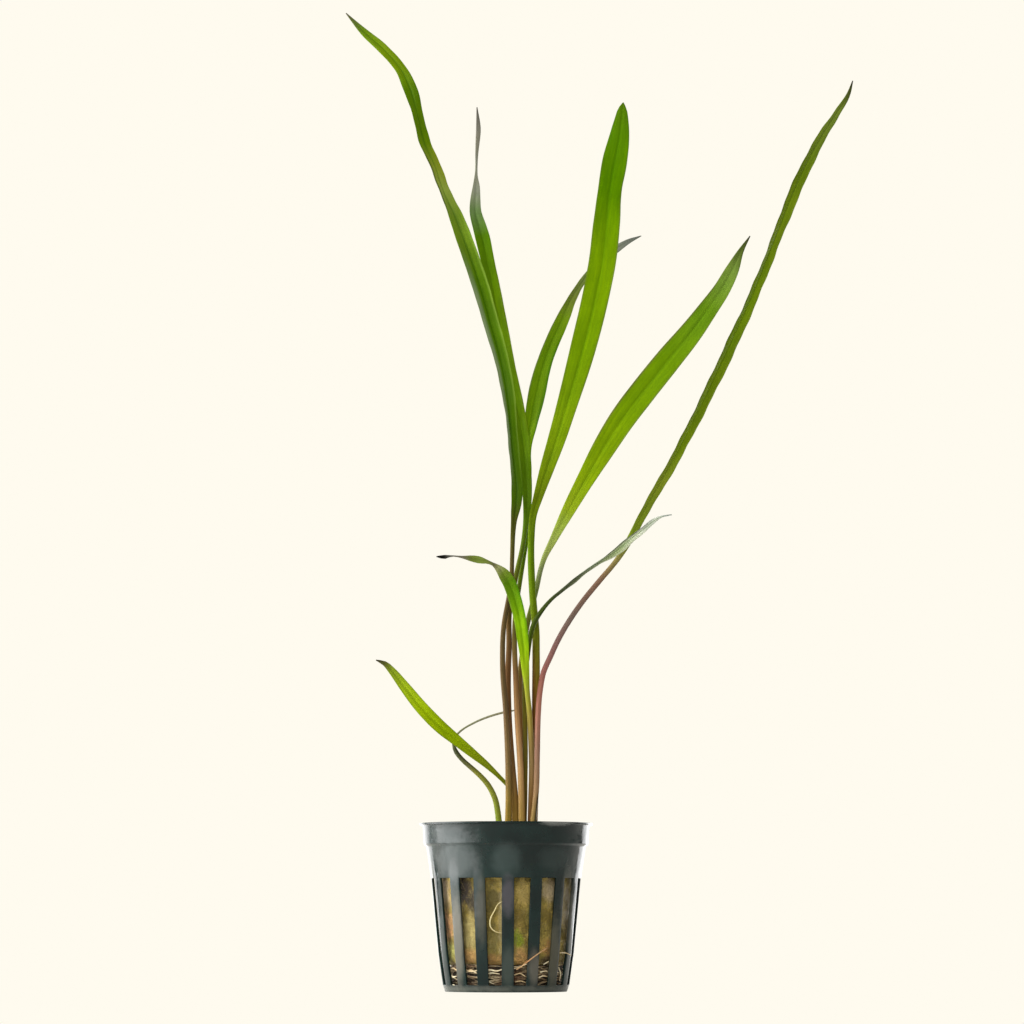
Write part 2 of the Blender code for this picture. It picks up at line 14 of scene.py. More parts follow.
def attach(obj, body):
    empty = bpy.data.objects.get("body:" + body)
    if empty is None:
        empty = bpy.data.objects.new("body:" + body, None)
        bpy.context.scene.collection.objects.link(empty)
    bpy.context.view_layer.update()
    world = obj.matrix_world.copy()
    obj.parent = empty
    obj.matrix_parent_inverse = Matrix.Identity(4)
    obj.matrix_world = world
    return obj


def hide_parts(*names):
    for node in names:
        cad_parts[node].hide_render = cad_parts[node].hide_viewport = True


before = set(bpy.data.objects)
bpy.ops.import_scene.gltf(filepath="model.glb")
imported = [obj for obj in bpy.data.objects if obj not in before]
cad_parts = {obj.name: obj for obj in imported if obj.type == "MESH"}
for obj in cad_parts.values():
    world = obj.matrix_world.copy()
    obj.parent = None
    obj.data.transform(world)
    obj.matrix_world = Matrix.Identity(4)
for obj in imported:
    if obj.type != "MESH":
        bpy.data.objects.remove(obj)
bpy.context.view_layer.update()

MM = 0.001
BODY = "root"

# Camera: the frame is square, and a focal length in pixels gives the lens
FRAME_PIXELS = 1024
FOCAL_PIXELS = 3890.5
SENSOR_WIDTH = 36.0
CAMERA_PLACE = (0.0, -1.150, 0.019)
CAMERA_RISE = math.radians(6.08)
CAMERA_TURN = math.radians(-0.088)
CAMERA_CLIP = 0.05

# How far the floor reaches each way, how far its bright card reaches around the pot, and how many times
# as far the card has faded out
FLOOR_REACH = 30.0
CARD_REACH = 0.24
CARD_FADE = 1.4

# Soft lights: place, target, width and height in metres, and power in watts
LIGHTS = {
    "window_left": ((-0.25, 0.03, 0.18), (0.0, 0.03, 0.18), (0.34, 0.35), 1.5),
    "window_right": ((0.32, 0.3, 0.2), (0.0, 0.0, 0.14), (0.3, 0.36), 0.7),
    "front_fill": ((-0.3, -1.3, 0.9), (0.0, 0.0, 0.12), (0.9, 0.6), 12.0),
    "card_left": ((-0.148, -0.033, 0.03), (-0.017, 0.04, 0.03), (0.235, 0.06), 0.17),
    "card_back_right": ((0.109, 0.245, 0.05), (0.0, 0.0, 0.05), (0.24, 0.1), 0.26),
    "card_back_left": ((-0.109, 0.245, 0.05), (0.0, 0.0, 0.05), (0.22, 0.1), 0.2),
}

# Net pot
POT_HEIGHT = 49.2 * MM
LIP_RADIUS = 25.5 * MM
LIP_THICKNESS = 0.6 * MM
COLLAR_TOP_RADIUS = 24.5 * MM
COLLAR_FOOT_RADIUS = 24.15 * MM
COLLAR_FOOT_Z = 43.0 * MM
BAND_TOP_RADIUS = 23.4 * MM
BAND_TOP_Z = 42.4 * MM
BASE_RADIUS = 17.9 * MM
WALL = 0.8 * MM
FLOOR = 1.2 * MM
RIBS = 16
RIB_TURN = math.radians(1.5)
HUB_RADIUS = 4.0 * MM
FLOOR_SLOT_START = 6.0 * MM
FLOOR_SLOT_END = 15.5 * MM
RIB_COLUMNS = 4
SLOT_COLUMNS = 6
WEDGE_PITCHES = 2
WELD_DISTANCE = 0.01 * MM

# The pot's soft edges, and the slow waver of its moulded wall
POT_SHARP_ANGLE = math.radians(30.0)
POT_EDGE = 0.16 * MM
POT_EDGE_STEPS = 2
POT_WAVER = 0.05 * MM
POT_WAVER_SCALE = 140.0

# Each wall level between the floor and the collar: height, outer radius, and the rib's share of the pitch
SLOT_LEVELS = [
    (2.0 * MM, 18.6 * MM, 0.48),
    (11.0 * MM, 19.9 * MM, 0.46),
    (22.0 * MM, 20.95 * MM, 0.44),
    (33.0 * MM, 22.0 * MM, 0.42),
]

# Wool plug, with its height and radius at each level
WOOL_PROFILE = [
    (7.6 * MM, 14.0 * MM), (8.0 * MM, 16.9 * MM), (9.5 * MM, 17.9 * MM), (20.0 * MM, 18.9 * MM),
    (33.0 * MM, 20.0 * MM), (42.0 * MM, 20.7 * MM), (44.0 * MM, 20.2 * MM), (44.5 * MM, 18.6 * MM),
]
WOOL_COLUMNS = 200
WOOL_ROW = 0.55 * MM
WOOL_LUMP = 0.42 * MM
WOOL_LUMP_SCALE = 260.0

# Loose fibres: how many lie on a square metre of wool, the range of their sizes as shares of one bent
# fibre, and that fibre's thickness and points in millimetres
FIBRE_DENSITY = 360000.0
FIBRE_SEED = 4
FIBRE_SIZES = (0.5, 1.6)
FIBRE_THICKNESS = 0.07
FIBRE_BEND = [
    (-0.9, 0.0, 0.05), (-0.5, 0.16, 0.12), (0.0, 0.24, 0.14), (0.5, 0.12, 0.11), (0.95, -0.06, 0.04),
]

# Lumps on the wool, the peat and the crown come from noise in layers: how fast the layers weaken, how
# much finer each one is than the last, and how many there are
LUMP_FALL = 0.9
LUMP_FINER = 2.1
LUMP_LAYERS = 5

# The ends of these pieces: where their rings lie between the rim and the middle, and how far the rings
# and the middle sink, as shares of the lumps' height
CAP_RINGS = (0.8, 0.6, 0.4, 0.2)
CAP_LUMP = 0.6
CAP_DIP = 0.5

# Leaves, in millimetres
STEM_FOOT_Z = 47.3
BLADE_THICKNESS = 0.5
FINE_THICKNESS = 0.34
THINNING_LENGTH = 14.0
TIP_WIDTH = 0.3
LEAF_SPACING = 1.3
HALF_ACROSS = (0.05, 0.12, 0.24, 0.42, 0.62, 0.8, 0.92, 0.98)

# A leaf is round until it is this many times as wide as it is thick, and turns flat over the next range
ROUND_UNTIL = 1.3
FLAT_RANGE = 3.0

# The midrib on a blade's back (1) and front (-1): its rise and its half width in millimetres
MIDRIB_SHAPE = {1: (0.22, 0.5), -1: (0.09, 0.32)}

# Waves of the margins: their height in millimetres, how fast the long and the short ones follow each
# other, in radians for each millimetre, and the short ones' share
WAVE_HEIGHT = 0.14
LONG_WAVE_PACE = 0.36
SHORT_WAVE_PACE = 0.93
SHORT_WAVE_SHARE = 0.6

# Veins: how many run side by side in each millimetre, how far each runs in millimetres, and their height
VEINS_ACROSS = 1.1
VEIN_LENGTH = 14.0
VEIN_DEPTH = 0.015 * MM

# Scale of the veins' noise, how the broader bands are stretched from it, and how far the midrib's shade
# reaches to each side, as a share of the half blade
LINE_SCALE = 1.6
BAND_STRETCH = (0.4, 0.4, 1.0)
MIDRIB_REACH = 0.2

# Shades on a leaf: a strength, and the colour that multiplies the leaf's own. Each leaf gives the
# strength of its own midrib.
MIDRIB_COLOUR = (0.55, 0.72, 0.45, 1.0)
VEIN_SHADE = (0.45, (0.66, 0.74, 0.55, 1.0))
BAND_SHADE = (0.25, (0.6, 0.64, 0.5, 1.0))
CLOUD_SHADE = (0.3, (1.35, 1.22, 1.1, 1.0))
SPECK_SHADE = (0.12, (0.6, 0.6, 0.5, 1.0))

# An edge's tone begins and is full this many times its width from the margin, and it fades in and out
# over this share of its length
EDGE_BEGINS = 1.4
EDGE_FULL = 0.4
EDGE_FADE = 0.25

# Each leaf in millimetres. A stem is a list of x, y, z points, as wide as it is thick, and it narrows
# evenly from its foot to its top. A blade is a list of x, y, z, width, roll and fold: roll turns the blade
# about its own length, away from facing the front, and fold lifts both margins towards the back, in degrees.
LEAVES = {
    "leaf_tall_left": {
        "stem_widths": (2.0, 1.3),
        "stem": [
            (0.6, -2.0, STEM_FOOT_Z), (0.8, -2.0, 56.0), (0.7, -2.0, 65.0), (0.0, -2.0, 81.5),
            (-1.0, -2.4, 95.5), (-0.65, -2.2, 107.5), (0.9, -1.0, 116.5), (1.6, 0.0, 121.5),
            (1.8, 1.0, 127.5),
        ],
        "blade": [
            (2.3, 2.3, 139.0, 1.95, 20, -4), (3.05, 3.0, 145.5, 3.5, 20, -15),
            (1.9, 5.0, 160.5, 4.1, 38, -22), (-0.85, 8.0, 184.5, 5.0, 20, -25),
            (-5.1, 10.0, 201.0, 5.5, 12, -26), (-8.6, 12.0, 213.5, 5.7, 8, -26),
            (-12.85, 14.0, 226.0, 5.4, 10, -24), (-15.4, 15.5, 233.0, 5.0, 22, -20),
            (-19.3, 17.0, 242.0, 4.6, 44, -15), (-21.8, 18.0, 249.5, 4.6, 41, -12),
            (-24.9, 19.0, 256.5, 4.4, 36, -10), (-26.75, 20.0, 264.0, 4.1, 38, -10),
            (-29.4, 22.0, 274.0, 4.4, 14, -8), (-32.3, 23.0, 280.5, 3.65, 14, -8),
            (-37.6, 24.0, 286.9, 3.3, 8, -6), (-44.15, 25.0, 293.1, 2.2, 0, -5),
            (-49.3, 25.0, 298.6, TIP_WIDTH, 0, 0),
        ],
    },
    "leaf_withered_tip": {
        "stem_widths": (2.2, 1.4),
        "stem": [
            (2.75, -0.2, STEM_FOOT_Z), (2.6, 0.0, 56.0), (1.85, 0.15, 65.0), (0.75, 0.15, 81.5),
            (0.6, 0.1, 93.5), (0.9, 0.5, 101.5), (1.0, 1.0, 112.0), (2.0, 2.0, 118.0),
            (3.25, 3.0, 124.0), (5.0, 4.3, 132.0),
        ],
        "blade": [
            (6.0, 6.0, 140.0, 1.8, 10, 0), (6.3, 8.0, 146.0, 2.7, 12, -8),
            (5.9, 11.0, 156.0, 3.4, 12, -12), (4.3, 15.0, 169.5, 4.3, 10, -14),
            (0.6, 20.0, 187.0, 4.9, 8, -14), (-3.4, 26.0, 209.5, 4.7, 8, -14),
            (-5.5, 30.0, 221.0, 4.4, 8, -14), (-7.5, 33.0, 230.5, 4.7, 12, -14),
            (-9.6, 35.5, 239.0, 3.9, 15, -14), (-9.4, 38.0, 246.0, 2.7, 28, -12),
            (-9.3, 40.0, 252.5, 1.2, 55, -8), (-9.05, 42.0, 259.5, 1.2, 30, 0),
            (-8.65, 44.0, 266.5, 1.5, 10, 0), (-9.1, 45.0, 273.4, TIP_WIDTH, 0, 0),
        ],
    },
    "leaf_broad_upright": {
        "stem_widths": (2.7, 2.0),
        "stem": [
            (7.95, 2.05, STEM_FOOT_Z), (8.3, 1.8, 57.0), (8.85, 1.2, 74.0), (8.85, 0.7, 85.5),
            (8.9, -0.4, 99.0), (8.8, -1.2, 106.5), (8.25, -1.8, 112.0), (7.8, -2.2, 118.0),
            (7.4, -2.6, 127.0),
        ],
        "blade": [
            (7.45, -3.0, 133.0, 2.0, 0, 0), (8.1, -3.5, 140.5, 2.2, 0, -4),
            (9.5, -4.0, 145.5, 2.9, 0, -6), (12.0, -5.0, 153.5, 4.2, 0, -8),
            (15.0, -6.0, 162.5, 5.3, 0, -8), (17.6, -8.0, 171.0, 6.0, 0, -8),
            (22.65, -12.0, 188.5, 7.6, 0, -8), (26.8, -16.5, 205.5, 8.0, 0, -8),
            (28.4, -19.0, 214.0, 8.1, 0, -8), (29.45, -22.0, 224.0, 8.0, 4, -8),
            (30.4, -25.0, 234.0, 7.2, 12, -7), (31.9, -27.0, 242.5, 7.3, 4, -6),
            (33.0, -28.0, 248.0, 6.2, 0, -5), (33.8, -29.0, 254.0, 4.1, 0, -3),
            (34.1, -29.6, 257.4, 2.2, 0, 0), (34.3, -30.0, 258.9, TIP_WIDTH, 0, 0),
        ],
    },
    "leaf_short_back": {
        "stem_widths": (2.0, 1.25),
        "stem": [
            (4.7, -2.0, STEM_FOOT_Z), (4.3, -2.0, 65.0), (3.3, -2.0, 81.5), (2.85, -2.0, 93.0),
            (2.5, -1.5, 101.5), (2.7, -0.1, 109.5), (3.3, 2.6, 115.5), (4.2, 5.0, 121.5),
            (5.2, 7.0, 128.0), (6.2, 8.8, 134.5),
        ],
        "blade": [
            (6.8, 11.0, 143.0, 1.5, 0, 0), (6.6, 14.0, 155.5, 2.2, 10, -12),
            (6.1, 16.0, 162.0, 3.0, 15, -18), (7.3, 18.0, 170.0, 4.3, 12, -20),
            (8.8, 20.0, 178.0, 5.6, 10, -20), (11.8, 24.0, 190.5, 4.9, 10, -20),
            (17.0, 28.0, 203.5, 4.4, 15, -20), (20.3, 30.5, 211.0, 3.0, 25, -18),
            (23.9, 33.0, 217.0, 2.2, 30, -14), (27.9, 36.5, 222.2, 2.3, 25, -10),
            (33.9, 41.0, 227.7, 2.5, 0, -6), (38.4, 43.5, 230.9, 1.4, 0, 0),
            (42.0, 45.0, 232.7, TIP_WIDTH, 0, 0),
        ],
    },
    "leaf_broad_right": {
        "stem_widths": (1.9, 1.5),
        "stem": [
            (5.2, 2.2, STEM_FOOT_Z), (5.4, 2.1, 65.0), (4.3, 1.8, 80.0), (4.0, 1.8, 89.0),
            (5.1, 2.0, 101.0), (6.5, 2.4, 109.0), (7.95, 2.2, 114.5), (9.15, 1.5, 119.3),
            (10.3, 0.5, 124.5),
        ],
        "blade": [
            (11.25, 0.0, 127.5, 1.6, 0, 0), (14.0, -1.0, 133.0, 2.3, 0, -5),
            (18.65, -3.0, 141.9, 4.0, 0, -8), (23.5, -5.0, 150.5, 5.3, 0, -9),
            (28.5, -7.0, 159.0, 6.8, 0, -9), (34.2, -9.0, 167.9, 7.7, 0, -9),
            (40.75, -11.5, 176.4, 7.9, 0, -9), (47.7, -14.0, 184.9, 7.7, 0, -9),
            (54.8, -17.0, 193.3, 6.8, 0, -9), (59.3, -19.0, 199.3, 5.8, 0, -9),
            (63.25, -21.0, 204.8, 5.0, 0, -9), (66.3, -23.0, 210.4, 4.0, 0, -8),
            (69.0, -24.0, 216.2, 1.6, 0, -4), (71.5, -25.0, 220.2, TIP_WIDTH, 0, 0),
        ],
    },
    "leaf_far_right": {
        "stem_widths": (1.7, 1.6),
        "stem": [
            (7.7, -2.8, STEM_FOOT_Z), (8.9, -2.8, 59.0), (9.2, -2.8, 70.0), (9.5, -2.6, 81.5),
            (10.1, -2.2, 88.5), (11.2, -1.6, 94.0), (13.1, -1.0, 98.3), (15.4, 0.0, 103.3),
            (18.85, 1.0, 109.3), (23.0, 2.0, 115.3), (27.95, 3.0, 121.4), (33.0, 4.0, 127.5),
        ],
        "blade": [
            (36.9, 5.0, 133.7, 2.1, 15, 0), (41.4, 6.0, 142.6, 3.0, 35, -10),
            (46.7, 7.0, 152.0, 3.9, 42, -15), (51.6, 8.0, 161.0, 4.25, 45, -16),
            (59.45, 10.0, 176.6, 4.8, 46, -16), (66.8, 12.0, 192.0, 5.15, 45, -16),
            (73.85, 14.0, 207.5, 4.8, 47, -16), (79.0, 15.0, 220.1, 4.8, 50, -16),
            (82.6, 16.0, 229.3, 4.9, 50, -14), (86.6, 17.0, 239.0, 4.6, 38, -12),
            (90.5, 18.0, 248.0, 4.6, 42, -12), (95.6, 19.0, 257.7, 3.9, 42, -10),
            (101.5, 19.5, 267.0, 2.4, 38, -6), (104.7, 20.0, 272.0, 1.3, 20, 0),
            (106.1, 20.0, 276.4, TIP_WIDTH, 0, 0),
        ],
    },
    "leaf_silvery_right": {
        "stem_widths": (1.6, 1.4),
        "stem": [
            (5.2, 0.0, STEM_FOOT_Z), (5.5, 0.05, 58.0), (5.7, 0.05, 72.0), (5.55, -0.2, 81.0),
            (5.45, -0.4, 87.0), (5.8, -0.9, 93.5), (6.35, -1.8, 98.5), (6.9, -3.0, 102.6),
            (7.35, -3.8, 105.2), (8.1, -4.2, 107.6), (9.4, -4.5, 110.0),
        ],
        "blade": [
            (13.0, -5.3, 114.6, 1.2, 55, 0), (16.25, -6.3, 117.5, 1.7, 62, -15),
            (19.75, -7.6, 120.4, 2.2, 62, -20), (24.1, -9.0, 123.5, 2.2, 72, -20),
            (28.1, -12.0, 126.0, 2.3, 64, -20), (33.0, -16.0, 129.0, 3.0, 44, -20),
            (36.5, -19.0, 131.7, 2.7, 40, -18), (39.6, -22.0, 133.8, 2.2, 40, -12),
            (42.5, -25.0, 136.0, 1.6, 30, -6), (45.2, -28.0, 137.2, 0.6, 20, 0),
            (47.9, -30.0, 137.5, TIP_WIDTH, 0, 0),
        ],
    },
    "leaf_bent_left": {
        "stem_widths": (1.8, 1.6),
        "stem": [
            (7.2, -0.7, STEM_FOOT_Z), (7.4, -0.9, 56.0), (7.6, -0.9, 65.0), (7.4, -1.2, 73.0),
            (6.9, -2.0, 81.5), (6.2, -3.2, 88.5),
        ],
        "blade": [
            (5.8, -4.2, 93.5, 2.2, 0, 0), (5.3, -5.6, 99.5, 2.9, 0, -10),
            (4.9, -6.6, 103.3, 3.5, 0, -14), (4.3, -7.6, 107.8, 3.7, 0, -16),
            (3.3, -9.0, 112.3, 3.9, 0, -16), (2.2, -10.3, 116.0, 4.0, 0, -16),
            (0.7, -12.3, 119.7, 4.0, 0, -14), (-1.0, -14.6, 121.9, 3.5, 4, -12),
            (-2.4, -16.2, 123.2, 2.2, 15, -10), (-3.7, -17.5, 124.2, 1.1, 30, 0),
            (-5.3, -18.8, 124.8, 1.2, 20, 0), (-7.8, -20.0, 125.25, 2.2, 10, -10),
            (-10.2, -21.0, 125.6, 1.9, 10, -10), (-12.6, -22.2, 125.9, 0.8, 0, 0),
            (-16.0, -23.6, 126.1, 0.5, 0, 0), (-18.0, -24.4, 125.75, 1.2, 0, 0),
            (-20.2, -25.0, 125.8, TIP_WIDTH, 0, 0),
        ],
    },
    "leaf_low_left": {
        "stem_widths": (1.6, 1.3),
        "stem": [(1.5, 2.8, STEM_FOOT_Z), (1.8, 3.2, 52.5), (1.65, 3.2, 56.8), (0.85, 2.9, 60.1)],
        "blade": [
            (-0.6, 2.2, 61.6, 1.2, 0, 0), (-6.2, -0.5, 66.8, 2.0, 0, -8),
            (-9.1, -1.8, 69.1, 2.5, 0, -10), (-14.75, -4.8, 73.6, 3.3, 0, -10),
            (-19.2, -7.0, 77.2, 3.85, 0, -10), (-24.85, -9.5, 82.85, 3.8, 0, -10),
            (-29.8, -12.0, 88.9, 3.1, 0, -8), (-33.6, -13.6, 93.6, 2.1, 0, -6),
            (-35.3, -14.5, 95.3, 1.5, 0, 0), (-38.0, -15.0, 96.4, TIP_WIDTH, 0, 0),
        ],
    },
    "leaf_curled_thread": {
        "stem_widths": (1.9, 1.3),
        "stem": [
            (-1.9, 0.0, STEM_FOOT_Z), (-2.3, 0.0, 51.5), (-3.15, 0.0, 56.2), (-5.35, 0.0, 60.6),
            (-8.45, 0.2, 64.0), (-10.55, 0.6, 65.85), (-13.3, 1.2, 68.4), (-15.0, 2.0, 70.8),
        ],
        "blade": [
            (-15.55, 2.6, 72.6, 0.9, 0, 0), (-15.1, 3.3, 74.8, 0.7, 0, 0), (-13.8, 4.0, 76.3, 0.6, 0, 0),
            (-9.1, 5.5, 79.3, 0.6, 0, 0), (-4.3, 7.0, 81.3, 0.65, 0, 0), (-0.9, 8.0, 82.3, 0.65, 0, 0),
            (3.0, 9.3, 83.1, 0.4, 0, 0),
        ],
    },
}

# How each leaf is coloured, on a screen's scale of 0 to 255. A tone belongs to a numbered point of the
# leaf's route, counted from the stem's foot through the blade. An edge is a side (-1 left, 1 right), its
# width as a share of the half blade, its tone, its strength, and the points that it runs between.
LEAF_LOOKS = {
    "leaf_tall_left": {
        "slot": "dark_leaf",
        "midrib": 0.75,
        "tones": [
            (0, (150, 124, 50)), (2, (120, 96, 62)), (3, (98, 78, 54)), (5, (90, 72, 46)), (7, (84, 68, 40)),
            (9, (80, 82, 26)), (10, (76, 108, 10)), (12, (84, 124, 4)), (14, (84, 120, 6)),
            (16, (116, 144, 36)), (17, (150, 168, 72)), (18, (138, 152, 42)), (19, (98, 130, 6)),
            (21, (86, 122, 2)), (22, (116, 146, 8)), (23, (118, 146, 10)), (24, (96, 126, 16)),
            (25, (92, 86, 66)),
        ],
        "edges": [
            # The first edge, pale grey-green over the left half, is a painted sheen of the lamp on the left.
            (-1, 0.55, (140, 156, 118), 0.9, 10, 15), (1, 0.25, (132, 164, 56), 0.8, 10, 17),
            (-1, 0.3, (74, 92, 40), 0.7, 16, 19), (1, 0.3, (150, 160, 20), 0.6, 17, 19),
        ],
    },
    "leaf_withered_tip": {
        "slot": "green_leaf",
        "midrib": 0.2,
        "tones": [
            (0, (154, 122, 54)), (2, (132, 100, 62)), (4, (106, 74, 46)), (6, (102, 80, 44)),
            (8, (88, 98, 24)), (10, (78, 110, 8)), (13, (102, 136, 6)), (15, (98, 132, 2)),
            (17, (86, 126, 2)), (18, (114, 140, 84)), (19, (160, 162, 146)), (20, (156, 156, 142)),
            (22, (132, 128, 118)), (23, (84, 78, 74)),
        ],
        "edges": [(1, 0.25, (112, 132, 24), 0.5, 12, 17)],
    },
    "leaf_broad_upright": {
        "slot": "green_leaf",
        "midrib": 0.32,
        "tones": [
            (0, (142, 112, 48)), (1, (148, 112, 56)), (3, (132, 100, 40)), (4, (112, 110, 28)),
            (6, (98, 118, 16)), (8, (90, 118, 8)), (11, (94, 112, 10)), (13, (120, 150, 12)),
            (15, (114, 150, 4)), (17, (122, 160, 4)), (19, (98, 148, 0)), (21, (94, 142, 2)),
            (23, (92, 134, 10)), (24, (92, 120, 24)),
        ],
        "edges": [
            (-1, 0.9, (98, 62, 26), 0.85, 0, 5), (-1, 0.12, (112, 130, 44), 0.5, 11, 24),
            (1, 0.12, (110, 124, 48), 0.5, 11, 24),
        ],
    },
    "leaf_short_back": {
        "slot": "green_leaf",
        "midrib": 0.35,
        "tones": [
            (0, (166, 136, 72)), (1, (176, 136, 94)), (3, (118, 86, 56)), (5, (94, 90, 36)),
            (7, (86, 106, 18)), (9, (88, 120, 8)), (12, (128, 166, 8)), (14, (110, 146, 8)),
            (15, (108, 146, 10)), (16, (120, 154, 14)), (17, (128, 142, 58)), (19, (124, 146, 90)),
            (20, (146, 150, 138)), (22, (120, 122, 120)),
        ],
        "edges": [(1, 0.35, (58, 106, 6), 0.7, 12, 16), (-1, 0.14, (126, 134, 90), 0.6, 13, 18)],
    },
    "leaf_broad_right": {
        "slot": "green_leaf",
        "midrib": 0.16,
        "tones": [
            (0, (164, 128, 72)), (2, (158, 116, 74)), (4, (122, 112, 50)), (6, (104, 122, 42)),
            (8, (128, 138, 92)), (9, (148, 160, 92)), (10, (152, 168, 84)), (11, (142, 164, 30)),
            (12, (128, 156, 10)), (14, (116, 150, 4)), (16, (106, 144, 6)), (18, (106, 146, 22)),
            (20, (122, 150, 62)), (21, (92, 108, 44)), (22, (60, 56, 42)),
        ],
        "edges": [(-1, 0.14, (104, 96, 58), 0.6, 12, 22), (1, 0.12, (126, 138, 64), 0.5, 11, 21)],
    },
    "leaf_far_right": {
        "slot": "dark_leaf",
        "midrib": 0.25,
        "tones": [
            (0, (158, 134, 76)), (1, (154, 122, 92)), (2, (144, 108, 92)), (4, (162, 106, 94)),
            (5, (152, 98, 94)), (7, (130, 98, 96)), (8, (124, 104, 98)), (9, (126, 100, 90)),
            (10, (134, 102, 84)), (11, (142, 130, 74)), (12, (124, 144, 36)), (14, (138, 154, 44)),
            (15, (130, 156, 24)), (18, (128, 160, 22)), (20, (134, 160, 26)), (22, (120, 148, 24)),
            (24, (138, 160, 62)), (25, (90, 100, 44)), (26, (44, 42, 34)),
        ],
        "edges": [
            (1, 0.7, (34, 40, 26), 0.85, 0, 1), (-1, 0.25, (100, 112, 44), 0.5, 12, 25),
            (1, 0.3, (140, 164, 40), 0.7, 13, 24),
        ],
    },
    "leaf_silvery_right": {
        "slot": "grey_leaf",
        "midrib": 0.9,
        "tones": [
            (0, (122, 100, 46)), (2, (106, 94, 34)), (4, (98, 92, 30)), (6, (80, 88, 24)), (8, (68, 84, 22)),
            (11, (62, 74, 34)), (12, (76, 84, 54)), (13, (98, 104, 80)), (15, (140, 150, 118)),
            (16, (168, 182, 138)), (17, (200, 210, 180)), (18, (208, 214, 200)), (20, (160, 166, 160)),
            (21, (120, 128, 130)),
        ],
        "edges": [(-1, 0.35, (66, 74, 54), 0.85, 11, 20), (1, 0.3, (204, 210, 190), 0.7, 12, 20)],
    },
    "leaf_bent_left": {
        "slot": "green_leaf",
        "midrib": 0.1,
        "tones": [
            (0, (112, 74, 42)), (1, (134, 100, 58)), (2, (142, 114, 76)), (3, (138, 116, 68)),
            (4, (146, 134, 62)), (5, (148, 152, 46)), (6, (142, 164, 26)), (7, (138, 174, 14)),
            (9, (134, 180, 16)), (10, (114, 160, 12)), (11, (98, 142, 12)), (12, (92, 134, 14)),
            # The pale tone at point 14, where the blade bends, is a painted highlight.
            (13, (126, 148, 52)), (14, (168, 172, 116)), (15, (118, 116, 84)), (16, (124, 136, 66)),
            (17, (132, 152, 68)), (18, (118, 132, 58)), (19, (124, 118, 104)), (20, (120, 116, 110)),
            (21, (24, 23, 20)), (22, (20, 19, 18)),
        ],
        "edges": [(1, 0.35, (72, 124, 10), 0.7, 7, 13), (-1, 0.2, (132, 160, 60), 0.5, 8, 13)],
    },
    "leaf_low_left": {
        "slot": "green_leaf",
        "midrib": 0.1,
        "tones": [
            (0, (112, 112, 42)), (3, (112, 122, 26)), (5, (118, 132, 20)), (7, (132, 156, 4)),
            (9, (142, 166, 8)), (10, (148, 170, 26)), (11, (124, 142, 34)), (12, (88, 90, 42)),
            (13, (58, 50, 42)),
        ],
        "edges": [(-1, 0.14, (104, 124, 24), 0.7, 5, 11), (1, 0.14, (110, 130, 20), 0.7, 5, 11)],
    },
    "leaf_curled_thread": {
        "slot": "olive_leaf",
        "midrib": 0.0,
        "tones": [
            (0, (128, 146, 48)), (2, (120, 126, 48)), (4, (110, 110, 42)), (5, (84, 84, 48)),
            (7, (66, 70, 50)), (9, (114, 114, 84)), (11, (142, 142, 114)), (14, (146, 144, 122)),
        ],
        "edges": [],
    },
}

# Roots that show outside the wool, in millimetres
ROOT_SPACING = 0.5
STRAY_ROOTS = {
    "root_loop": [
        (-0.9, -19.9, 26.3), (-2.3, -19.9, 25.4), (-3.3, -19.9, 23.6), (-4.6, -19.6, 20.6),
        (-4.4, -19.4, 18.7), (-3.2, -19.25, 17.6), (-0.8, -19.0, 17.0),
    ],
    "root_over_rib": [
        (3.0, -17.8, 6.6), (4.6, -18.4, 7.6), (6.4, -19.5, 9.0), (8.4, -18.8, 10.5),
        (10.6, -17.6, 12.0), (12.0, -14.7, 12.8),
    ],
}

# How thick each of them is at its start, middle and end, and its skin
STRAY_THICKNESS = {"root_loop": (0.22, 0.4, 0.24), "root_over_rib": (0.42, 0.34, 0.2)}
STRAY_SKIN = {"root_loop": "root_skin_pale", "root_over_rib": "root_skin_orange"}

# Root skins: a pale and a brown tone, on a screen's scale of 0 to 255, and the brown's share
ROOT_SKINS = {
    "root_skin_pale": ((226, 214, 160), (206, 184, 124), 0.6),
    "root_skin_orange": ((216, 186, 138), (176, 118, 62), 0.9),
    "root_tangle_skin": ((204, 186, 146), (104, 72, 42), 1.0),
    "root_cream": ((232, 222, 188), (196, 160, 104), 0.7),
}

